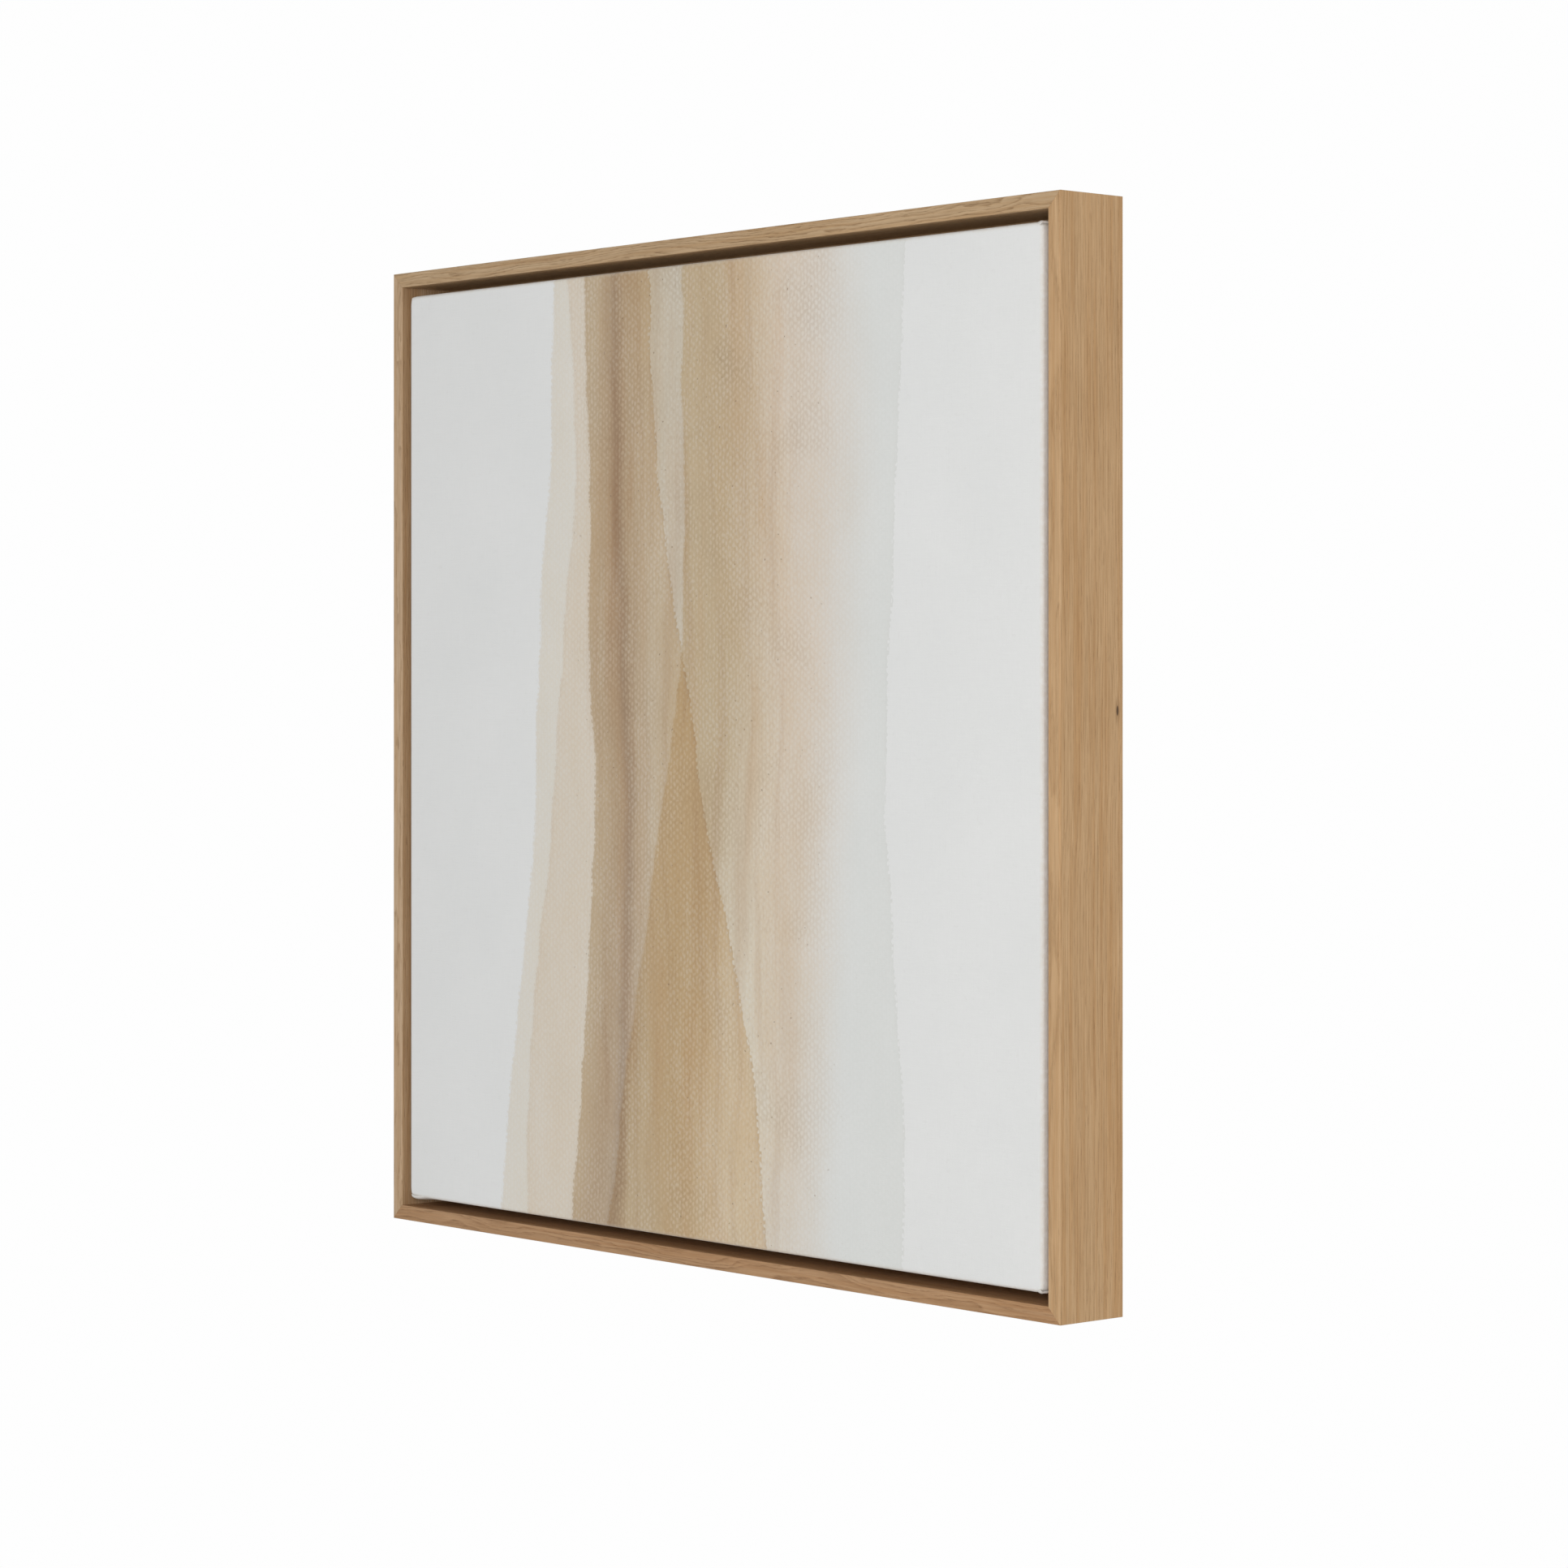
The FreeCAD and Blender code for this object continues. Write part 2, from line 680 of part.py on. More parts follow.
def hanger_strap(side, x_sign):
    """A strip folded round the ring's straight bar and screwed down flat on the side rail."""
    name = f"hanger_strap_{side}"
    body = new_body(name)
    section = new_sketch(body, f"{name}_section", "YZ_Plane")
    vector = FreeCAD.Vector
    length = size("strap_length")
    folded = 2 * size("strap_thickness")
    barrel = size("ring_wire") / 2 + size("ring_clearance") + size("strap_thickness")
    reach = folded - barrel
    drop = math.sqrt(barrel**2 - reach**2)
    fold = Part.Circle(vector(barrel, 0, 0), vector(0, 0, 1), barrel)
    upper = section.addGeometry(Part.ArcOfCircle(fold, math.atan2(-drop, reach), math.pi))
    front = section.addGeometry(Part.LineSegment(vector(0, 0, 0), vector(0, -length, 0)))
    end = section.addGeometry(Part.LineSegment(vector(0, -length, 0), vector(folded, -length, 0)))
    back = section.addGeometry(Part.LineSegment(vector(folded, -length, 0), vector(folded, -drop, 0)))
    for first, first_end, second, second_end in (
        (upper, 2, front, 1),
        (front, 2, end, 1),
        (end, 2, back, 1),
        (back, 2, upper, 1),
    ):
        section.addConstraint(
            Sketcher.Constraint("Coincident", first, first_end, second, second_end)
        )
    bind_point(section, upper, 3, BARREL_RADIUS, "0")
    bind_point(section, front, 1, "0", "0")
    bind_point(section, front, 2, "0", "-Sizes.strap_length")
    bind_point(section, end, 2, "2 * Sizes.strap_thickness", "-Sizes.strap_length")
    section.addConstraint(Sketcher.Constraint("Vertical", back))
    circle(section, BARREL_RADIUS, "0", "Sizes.ring_wire / 2 + Sizes.ring_clearance")
    pad(body, section, "Sizes.strap_width", "Symmetric")
    round_edges(
        body,
        f"{name}_end",
        "Sizes.strap_end_radius",
        lambda a, b: all(near(p.z, -size("strap_length")) for p in (a, b)) and near(a.x, b.x),
    )
    holes = new_sketch(body, f"{name}_holes", "XZ_Plane")
    for hole in ("first_hole", "second_hole"):
        circle(holes, "0", f"-Sizes.{hole}", "Sizes.strap_hole_radius")
    pocket(body, holes)
    place(body, FreeCAD.Rotation(0, 0, 0), f"{x_sign} * {HANGER_X}", "0", "Sizes.hanger_height")
    return body


def hanger_ring(side, x_sign):
    """A D ring of round wire, standing up from its straight bar in the strap's fold."""
    name = f"hanger_ring_{side}"
    body = new_body(name)
    half_bar = "(Sizes.ring_bar / 2)"
    half_width = f"({half_bar} + Sizes.ring_corner)"
    leg_top = "(Sizes.ring_corner + Sizes.ring_leg)"
    path = new_sketch(body, f"{name}_path", "XZ_Plane", f"-{BARREL_RADIUS}")
    vector = FreeCAD.Vector
    normal = vector(0, 0, 1)
    straight = size("ring_bar") / 2
    corner = size("ring_corner")
    bow = straight + corner
    top = corner + size("ring_leg")

    def line(start, end):
        return path.addGeometry(Part.LineSegment(vector(*start, 0), vector(*end, 0)))

    def arc(centre, radius, start, end):
        round_wire = Part.Circle(vector(*centre, 0), normal, radius)
        return path.addGeometry(Part.ArcOfCircle(round_wire, start, end))

    near_bar = line((0, 0), (straight, 0))
    right_corner = arc((straight, corner), corner, -math.pi / 2, 0)
    right_leg = line((bow, corner), (bow, top))
    crown = arc((0, top), bow, 0, math.pi)
    left_leg = line((-bow, top), (-bow, corner))
    left_corner = arc((-straight, corner), corner, math.pi, 1.5 * math.pi)
    far_bar = line((-straight, 0), (0, 0))
    chain = (
        (near_bar, 2, right_corner, 1),
        (right_corner, 2, right_leg, 1),
        (right_leg, 2, crown, 1),
        (crown, 2, left_leg, 1),
        (left_leg, 2, left_corner, 1),
        (left_corner, 2, far_bar, 1),
        (far_bar, 2, near_bar, 1),
    )
    for first, first_end, second, second_end in chain:
        path.addConstraint(
            Sketcher.Constraint("Coincident", first, first_end, second, second_end)
        )
    bind_point(path, near_bar, 1, "0", "0")
    bind_point(path, right_corner, 3, half_bar, "Sizes.ring_corner")
    bind_point(path, right_corner, 2, half_width, "Sizes.ring_corner")
    bind_point(path, crown, 3, "0", leg_top)
    bind_point(path, crown, 1, half_width, leg_top)
    bind_point(path, left_corner, 3, f"-{half_bar}", "Sizes.ring_corner")
    bind_point(path, left_corner, 1, f"-{half_width}", "Sizes.ring_corner")
    path.addConstraint(Sketcher.Constraint("Vertical", right_corner, 3, right_corner, 1))
    path.addConstraint(Sketcher.Constraint("Horizontal", crown, 3, crown, 2))
    path.addConstraint(Sketcher.Constraint("Vertical", left_corner, 3, left_corner, 2))
    wire = new_sketch(body, f"{name}_wire", "YZ_Plane")
    circle(wire, BARREL_RADIUS, "0", "Sizes.ring_wire / 2")
    DOC.recompute()
    bent = body.newObject("PartDesign::AdditivePipe", f"{name}_bent")
    bent.Profile = wire
    bent.Spine = (path, [])
    DOC.recompute()
    place(body, FreeCAD.Rotation(0, 0, 0), f"{x_sign} * {HANGER_X}", "0", "Sizes.hanger_height")
    return body


def build():
    """Make every sub-part and return them in the order in which they are put together."""
    nails = corner_v_nails()
    into_rails = hanger_screws()
    into_bars = canvas_screws()
    staples = canvas_staples()
    rail_fasteners = fused("rail_fasteners", [nails, into_rails])
    bar_fasteners = fused("bar_fasteners", [staples, into_bars])
    pieces = [nails, into_rails, into_bars, staples]
    for side in SIDE_TURNS:
        pieces.append(cut_by(f"rail_{side}", rail_blank(side), rail_fasteners))
        bar = bar_blank(side, tongue_in_front=side in ("top", "bottom"))
        pieces.append(cut_by(f"stretcher_bar_{side}", bar, bar_fasteners))
    pieces.append(cut_by("canvas", canvas_blank(), bar_fasteners))
    for high, z_sign in (("top", 1), ("bottom", -1)):
        for wide, x_sign in (("left", -1), ("right", 1)):
            for slot, in_side_bar in (("side", True), ("cross", False)):
                name = f"tension_key_{high}_{wide}_{slot}"
                pieces.append(tension_key(name, x_sign, z_sign, in_side_bar))
    for side, x_sign in (("left", -1), ("right", 1)):
        pieces.append(hanger_strap(side, x_sign))
        pieces.append(hanger_ring(side, x_sign))
    DOC.recompute()
    return pieces


def check(pieces):
    """Stop unless every object of the document recomputed and every sub-part is a sound solid."""
    for item in DOC.Objects:
        if {"Invalid", "Error"} & set(item.State):
            raise RuntimeError(f"{item.Name} did not recompute")
    for piece in pieces:
        if piece.Shape.isNull() or not piece.Shape.isValid() or not piece.Shape.Solids:
            raise RuntimeError(f"{piece.Label} is not a sound solid")


def write(pieces):
    """Write one STEP file for each sub-part."""
    os.makedirs("parts", exist_ok=True)
    for piece in pieces:
        piece.Shape.exportStep(os.path.join("parts", f"{piece.Label}.step"))
        box = piece.Shape.BoundBox
        print(
            f"{piece.Label}: {len(piece.Shape.Solids)} solid(s), "
            f"{box.XLength:.1f} x {box.YLength:.1f} x {box.ZLength:.1f} mm, "
            f"{piece.Shape.Volume / 1000:.2f} cm3"
        )


sub_parts = build()
check(sub_parts)
write(sub_parts)
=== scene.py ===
"""Looks of the floating frame: oak rails, a painted canvas, pine bars, beech keys and metal fittings."""

import math
from collections import namedtuple

import bpy
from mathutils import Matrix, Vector, noise


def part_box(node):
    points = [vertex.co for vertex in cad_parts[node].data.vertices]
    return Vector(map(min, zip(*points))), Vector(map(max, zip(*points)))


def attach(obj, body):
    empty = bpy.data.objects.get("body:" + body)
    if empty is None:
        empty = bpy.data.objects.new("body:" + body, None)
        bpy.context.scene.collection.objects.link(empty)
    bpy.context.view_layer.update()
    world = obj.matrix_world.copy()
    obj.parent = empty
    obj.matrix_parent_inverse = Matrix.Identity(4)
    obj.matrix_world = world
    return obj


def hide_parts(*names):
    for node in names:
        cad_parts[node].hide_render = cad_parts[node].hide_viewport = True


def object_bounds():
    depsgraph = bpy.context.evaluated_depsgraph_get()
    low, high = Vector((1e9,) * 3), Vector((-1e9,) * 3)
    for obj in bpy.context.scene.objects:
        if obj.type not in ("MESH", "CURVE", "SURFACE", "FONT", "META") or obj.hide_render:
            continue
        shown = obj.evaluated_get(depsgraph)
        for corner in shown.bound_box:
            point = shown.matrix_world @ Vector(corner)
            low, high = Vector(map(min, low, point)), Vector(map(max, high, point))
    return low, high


MM = 0.001

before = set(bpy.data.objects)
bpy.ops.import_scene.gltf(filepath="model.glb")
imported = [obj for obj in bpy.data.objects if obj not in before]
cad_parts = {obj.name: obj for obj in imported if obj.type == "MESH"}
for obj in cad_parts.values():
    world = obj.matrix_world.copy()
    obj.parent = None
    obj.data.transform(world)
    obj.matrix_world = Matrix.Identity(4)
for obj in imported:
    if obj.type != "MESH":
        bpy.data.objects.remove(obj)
cad_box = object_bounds()


def box_mm(name):
    """The low and high corners of a CAD node, in millimetres."""
    return [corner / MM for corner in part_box(name)]


# Faces of the CAD part, in millimetres; "out" is the distance from the middle of the frame.
rail_low, rail_high = box_mm("rail_right")
RAIL_FRONT = rail_low.y
RAIL_OUTER = rail_high.x
LEDGE_EDGE = rail_low.x
LIP_WIDTH = 9.5
LIP_INNER = RAIL_OUTER - LIP_WIDTH
canvas_low, canvas_high = box_mm("canvas")
HALF = canvas_high.x
FRONT_Y = canvas_low.y
BACK_Y = canvas_high.y


# ---------------------------------------------------------------- shader helpers


class Graph:
    """A material's node tree, written as short expressions."""

    def __init__(self, name):
        self.material = bpy.data.materials.new(name)
        self.material.use_nodes = True
        self.tree = self.material.node_tree
        self.tree.nodes.clear()

    def node(self, kind, inputs=None, **settings):
        """Add one node; an input is a plain value or another node's output."""
        made = self.tree.nodes.new("ShaderNode" + kind)
        for key, value in settings.items():
            setattr(made, key, value)
        for slot, value in (inputs or {}).items():
            if isinstance(value, bpy.types.NodeSocket):
                self.tree.links.new(value, made.inputs[slot])
            else:
                made.inputs[slot].default_value = value
        return made

    def math(self, operation, *values):
        return self.node("Math", dict(enumerate(values)), operation=operation).outputs[0]

    def add(self, *values):
        total = values[0]
        for value in values[1:]:
            total = self.math("ADD", total, value)
        return total

    def sub(self, a, b):
        return self.math("SUBTRACT", a, b)

    def mul(self, *values):
        total = values[0]
        for value in values[1:]:
            total = self.math("MULTIPLY", total, value)
        return total

    def distance(self, a, b):
        """The length of a line with these two legs."""
        return self.math("SQRT", self.add(self.mul(a, a), self.mul(b, b)))

    def smooth(self, value, low, high, start=0.0, end=1.0):
        """Go from start to end, with soft ends, as value goes from low to high."""
        inputs = {"Value": value, "From Min": low, "From Max": high, "To Min": start, "To Max": end}
        return self.node("MapRange", inputs, interpolation_type="SMOOTHSTEP").outputs[0]

    def noise(self, vector, scale=1.0, detail=2, roughness=0.5):
        inputs = {"Vector": vector, "Scale": scale, "Detail": detail, "Roughness": roughness}
        return self.node("TexNoise", inputs).outputs["Fac"]

    def drawn_out(self, place, scales, detail=1, roughness=0.5):
        """Noise with its own scale along each axis of a place."""
        scaled = [self.mul(value, scale) for value, scale in zip(place, scales)]
        return self.noise(self.combine(*scaled), detail=detail, roughness=roughness)

    def swing(self, noise_value, size):
        """Turn a noise into a value that swings about nought by this much in all."""
        return self.mul(self.sub(noise_value, 0.5), size)

    def combine(self, x, y, z=0.0):
        return self.node("CombineXYZ", {0: x, 1: y, 2: z}).outputs[0]

    def separate(self, vector):
        return self.node("SeparateXYZ", {0: vector}).outputs

    def in_mm(self, vector):
        inputs = {0: vector, 1: (1 / MM, 1 / MM, 1 / MM)}
        return self.node("VectorMath", inputs, operation="MULTIPLY").outputs[0]

    def place(self):
        """Where a point is on the object, in millimetres."""
        return self.in_mm(self.node("TexCoord").outputs["Object"])

    def mix(self, factor, a, b, blend="MIX"):
        """Blend two colours."""
        inputs = {0: factor, 6: a, 7: b}
        made = self.node("Mix", inputs, data_type="RGBA", blend_type=blend, clamp_factor=True)
        return made.outputs[2]

    def glaze(self, amount, base, tint):
        """Lay a translucent tint over a colour."""
        return self.mix(amount, base, self.mix(1.0, base, tint, "MULTIPLY"))

    def shaded(self, base, shade):
        """Make a colour lighter or darker."""
        return self.mix(1.0, base, self.combine(shade, shade, shade), "MULTIPLY")

    def bump(self, height, strength=1.0):
        """Turn a height in millimetres into a normal."""
        inputs = {"Height": height, "Distance": MM, "Strength": strength}
        return self.node("Bump", inputs).outputs[0]

    def finish(self, **inputs):
        """Add the surface shader; underscores in a name stand for spaces."""
        named = {key.replace("_", " "): value for key, value in inputs.items()}
        shader = self.node("BsdfPrincipled", named)
        self.node("OutputMaterial", {"Surface": shader.outputs[0]})
        return self.material


def colour(red, green, blue):
    """An 8-bit display colour as a linear shader colour."""

    def linear(value):
        share = value / 255
        return share / 12.92 if share <= 0.04045 else ((share + 0.055) / 1.055) ** 2.4

    return (linear(red), linear(green), linear(blue), 1.0)


def scaled(tint, red, green, blue):
    """A colour with its channels scaled."""
    return (tint[0] * red, tint[1] * green, tint[2] * blue, 1.0)


def give(material, *names):
    """Put a material on whole CAD nodes."""
    for name in names:
        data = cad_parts[name].data
        data.materials.clear()
        data.materials.append(material)


# ---------------------------------------------------------------- wood


def grain_axes(g, along, outward):
    """Distances along the rail, outward from the frame's middle, and in depth, in millimetres."""
    x, y, z = g.separate(g.place())
    axes = {"x": x, "z": z}
    return axes[along], g.mul(axes[outward[1]], -1.0 if outward[0] == "-" else 1.0), y


def oak(side, along, outward, seed, tint, pith, pitch, waviness, figure, knot=None):
    """Rift-sawn oak: growth rings, open pores in the early wood, fibres, flecks, worn arrises with a
    painted highlight, and painted shade on the walls of the gap.

    The pith is where the rings are centred (out, depth), and the pitch is the width of a ring.
    The knot is (run, depth, radius). The figure is how strong the rings and flecks are.
    """
    g = Graph(f"oak_{side}")
    run, out, depth = grain_axes(g, along, outward)
    shifted = g.add(run, seed)
    wood = (shifted, out, depth)
    dark = scaled(tint, 0.42, 0.33, 0.24)

    slow = g.drawn_out(wood, (0.006, 0.03, 0.02), 2)
    quick = g.drawn_out(wood, (0.03, 0.22, 0.16), 3)
    wander = g.add(g.swing(slow, 16.0), g.swing(quick, waviness))
    if knot:
        knot_run, knot_depth, knot_radius = knot
        from_knot = g.distance(g.mul(g.sub(run, knot_run), 0.30), g.sub(depth, knot_depth))
        swell = g.math("EXPONENT", g.mul(from_knot, -0.42))
        wander = g.add(wander, g.mul(swell, 3.0))

    # The rings, which are paler and more open where each year's growth begins.
    radius = g.add(g.distance(g.sub(out, pith[0]), g.sub(depth, pith[1])), wander)
    uneven = g.noise(g.combine(g.mul(radius, 0.16), seed), detail=2, roughness=0.6)
    ring = g.math("FRACT", g.mul(g.add(radius, g.mul(uneven, 5.0)), 1 / pitch))
    speckle = g.drawn_out(wood, (0.11, 1.7, 1.7), 2, 0.6)
    broken = g.smooth(speckle, 0.36, 0.62, 0.25, 1.15)
    early = g.mul(g.smooth(ring, 0.08, 0.46, 1.0, 0.0), g.smooth(ring, 0.0, 0.10), broken)
    late = g.smooth(ring, 0.45, 0.98)

    # Fibres, broader streaks, and threads that bend with the rings.
    fibre = g.drawn_out(wood, (0.05, 2.1, 2.1), 3, 0.6)
    streak = g.drawn_out(wood, (0.006, 0.34, 0.34), 2)
    bend = g.mul(wander, 0.5)
    bent = (shifted, g.add(out, bend), g.add(depth, bend))
    thread = g.drawn_out(bent, (0.021, 0.9, 0.9), 2, 0.65)
    patch = g.drawn_out(wood, (0.012, 0.06, 0.05), 2)
    pore_noise = g.drawn_out(wood, (0.16, 3.6, 3.6))
    pores = g.mul(g.smooth(pore_noise, 0.585, 0.66), g.add(g.mul(early, 0.85), 0.15))
    flecks = g.smooth(g.drawn_out(wood, (0.085, 0.9, 0.9)), 0.68, 0.75)

    shade = g.add(
        1.0,
        g.mul(early, -0.17 * figure),
        g.mul(late, 0.05 * figure),
        g.swing(fibre, 0.44),
        g.swing(thread, 0.60),
        g.swing(streak, 0.30),
        g.swing(patch, 0.26),
    )
    light, warm = scaled(tint, 1.07, 1.07, 1.07), scaled(tint, 0.93, 0.84, 0.72)
    base = g.mix(g.smooth(streak, 0.35, 0.72), light, warm)
    warm_shade = g.combine(g.math("POWER", shade, 0.80), shade, g.math("POWER", shade, 1.30))
    base = g.mix(1.0, base, warm_shade, "MULTIPLY")
    base = g.mix(g.mul(pores, 0.30), base, dark)
    base = g.mix(g.mul(flecks, 0.26 * figure), base, dark)
    if knot:
        heart = g.smooth(from_knot, knot_radius * 0.55, knot_radius, 1.0, 0.0)
        halo = g.smooth(from_knot, knot_radius, knot_radius * 2.6, 1.0, 0.0)
        base = g.mix(g.mul(halo, 0.35), base, dark)
        base = g.mix(g.mul(heart, 0.85), base, (0.060, 0.032, 0.015, 1.0))

    # The arrises of the front face are worn paler, partly real wear and partly a painted highlight, and
    # the walls of the gap are darkened with painted shade.
    rub_noise = g.drawn_out((run, out, depth), (0.05, 0.7, 0.7), 3)
    front = g.smooth(depth, RAIL_FRONT, RAIL_FRONT + 1.1, 1.0, 0.0)
    outer = g.smooth(out, RAIL_OUTER - 1.1, RAIL_OUTER)
    inner = g.smooth(out, LIP_INNER, LIP_INNER + 1.0, 1.0, 0.0)
    arris = g.mul(front, g.math("MAXIMUM", outer, inner))
    worn_and_highlit_arris = g.mul(arris, g.smooth(rub_noise, 0.35, 0.62))
    # Paler arrises: wear together with a painted highlight.
    base = g.mix(g.mul(worn_and_highlit_arris, 0.22), base, scaled(tint, 1.22, 1.20, 1.16))
    # Painted shade: the walls of the gap are darkened, fading out deeper in.
    gap_wall_shade = g.mul(
        g.smooth(out, LIP_INNER - 0.1, LIP_INNER + 0.4, 1.0, 0.0),
        g.smooth(depth, RAIL_FRONT + 0.4, RAIL_FRONT + 1.0),
        g.smooth(depth, RAIL_FRONT + 6.0, RAIL_FRONT + 16.0, 1.0, 0.0),
    )
    base = g.glaze(g.mul(gap_wall_shade, 0.9), base, colour(232, 222, 210))

    height = g.add(
        g.mul(pores, -0.07), g.mul(fibre, 0.035), g.mul(early, -0.015), g.mul(flecks, -0.01)
    )
    gloss = g.add(0.50, g.mul(pores, 0.25), g.swing(fibre, 0.16), g.mul(worn_and_highlit_arris, -0.08))
    return g.finish(
        Base_Color=base,
        Roughness=gloss,
        Normal=g.bump(height, 0.9),
        IOR=1.46,
        Specular_IOR_Level=0.42,
    )


PINE_PITH = (255.0, 52.0)
PINE_RINGS = 0.24


def pine(side, along, outward, seed):
    """Planed pine: broad pale early wood, amber late-wood lines and small resin flecks."""
    g = Graph(f"pine_{side}")
    run, out, depth = grain_axes(g, along, outward)
    wood = (g.add(run, seed), out, depth)
    slow = g.drawn_out(wood, (0.005, 0.02, 0.02), 2)
    radius = g.add(g.distance(g.sub(out, PINE_PITH[0]), g.sub(depth, PINE_PITH[1])), g.swing(slow, 26.0))
    ring = g.math("FRACT", g.mul(radius, PINE_RINGS))
    late = g.mul(g.smooth(ring, 0.45, 0.93), g.smooth(ring, 0.95, 1.0, 1.0, 0.0))
    fibre = g.drawn_out(wood, (0.03, 2.4, 2.4), 3, 0.6)
    resin = g.smooth(g.drawn_out(wood, (0.12, 1.6, 1.6)), 0.70, 0.76)
    base = g.mix(late, colour(232, 206, 160), colour(204, 160, 104))
    base = g.shaded(base, g.add(1.0, g.swing(fibre, 0.22)))
    base = g.mix(g.mul(resin, 0.5), base, colour(150, 100, 58))
    return g.finish(
        Base_Color=base,
        Roughness=g.add(0.58, g.swing(fibre, 0.2)),
        Normal=g.bump(g.add(g.mul(late, 0.03), g.mul(fibre, 0.03)), 0.8),
        IOR=1.45,
    )


def beech(name, along, seed):
    """The keys: fine-grained beech with short darker ray flecks and a sawn, slightly fuzzy face."""
    g = Graph(name)
    x, y, z = g.separate(g.place())
    run, cross = (x, z) if along == "x" else (z, x)
    wood = (g.add(run, seed), cross, y)
    fibre = g.drawn_out(wood, (0.05, 1.9, 1.9), 3, 0.6)
    rays = g.smooth(g.drawn_out(wood, (0.5, 3.0, 3.0), 0), 0.64, 0.70)
    base = g.shaded(colour(214, 178, 138), g.add(1.0, g.swing(fibre, 0.28)))
    base = g.mix(g.mul(rays, 0.45), base, colour(158, 112, 76))
    return g.finish(
        Base_Color=base,
        Roughness=g.add(0.55, g.mul(fibre, 0.15)),
        Normal=g.bump(g.add(g.mul(fibre, 0.04), g.mul(rays, -0.02)), 0.8),
    )


# ---------------------------------------------------------------- metal


def metal(name, base, roughness, grain, spots):
    """Plated steel: faint drawing lines, uneven sheen and small dull spots."""
    g = Graph(name)
    place = g.place()
    cloudy = g.noise(place, scale=0.35, detail=3)
    fine = g.noise(place, scale=4.0, detail=2)
    dull = g.smooth(g.noise(place, scale=1.1, detail=4, roughness=0.65), 0.56, 0.74)
    tone = g.mix(cloudy, scaled(base, 0.82, 0.82, 0.82), base)
    tone = g.mix(g.mul(dull, spots), tone, scaled(base, 0.50, 0.48, 0.45))
    return g.finish(
        Base_Color=tone,
        Metallic=1.0,
        Roughness=g.add(roughness, g.swing(cloudy, 0.18), g.mul(dull, 0.25)),
        Normal=g.bump(g.mul(fine, grain), 0.6),
    )


# ---------------------------------------------------------------- canvas paint

THREAD_PAIR = 0.8
WEAVE_DEPTH = 0.16


def cloth_place(g):
    """Where a point is on the flat piece of cloth, in millimetres."""
    flat_x, flat_y, _ = g.separate(g.in_mm(g.node("UVMap", uv_map="cloth").outputs[0]))
    return flat_x, flat_y


def weave(g, flat_x, flat_y):
    """Height of a plain weave from 0 to 1: threads go over and under each other."""
    turn = 2 * math.pi / THREAD_PAIR
    drift = g.noise(g.combine(flat_x, flat_y), scale=0.09, detail=2)
    slub_x = g.drawn_out((flat_x, flat_y), (2.4, 0.05))
    slub_y = g.drawn_out((flat_x, flat_y), (0.05, 2.4))
    wave_x = g.math("SINE", g.add(g.mul(flat_x, turn), g.mul(drift, 3.2)))
    wave_y = g.math("SINE", g.add(g.mul(flat_y, turn), g.mul(drift, -2.7)))
    woven = g.mul(wave_x, wave_y)
    ridges = g.add(g.math("ABSOLUTE", wave_x), g.math("ABSOLUTE", wave_y))
    slubs = g.add(slub_x, slub_y)
    return g.add(g.mul(woven, 0.30), g.mul(ridges, 0.12), g.mul(slubs, 0.42))


GRANULE_WIDE = 6.3
GRANULE_TALL = 4.3


def granules(g, x, z):
    """Pigment caught in the valleys of a coarse texture: 1 in the valleys and 0 on the crossings."""
    broad = g.swing(g.noise(g.combine(x, z), scale=0.035, detail=2), 3.0)
    close = g.swing(g.noise(g.combine(z, x), scale=0.16, detail=1), 3.4)
    drift = g.add(broad, close)
    wave_x = g.math("SINE", g.add(g.mul(x, 2 * math.pi / GRANULE_WIDE), drift))
    wave_z = g.math("SINE", g.add(g.mul(z, 2 * math.pi / GRANULE_TALL), g.mul(drift, -1.3)))
    crossings = g.add(g.mul(wave_x, wave_z, 0.40), g.mul(g.math("ABSOLUTE", wave_x), 0.50))
    rough = g.swing(g.noise(g.combine(x, g.mul(z, 0.6)), scale=0.55, detail=3), 2.3)
    return g.smooth(g.add(crossings, rough), -0.1, 0.85, 1.0, 0.0)


# A wash's edge: where it crosses mid height, how it leans, bows and wobbles down the canvas, how
# soft it is, and how dark a rim it dried with.
Edge = namedtuple("Edge", "at lean bow phase wobble softness rim")
Wash = namedtuple("Wash", "left right tint density")

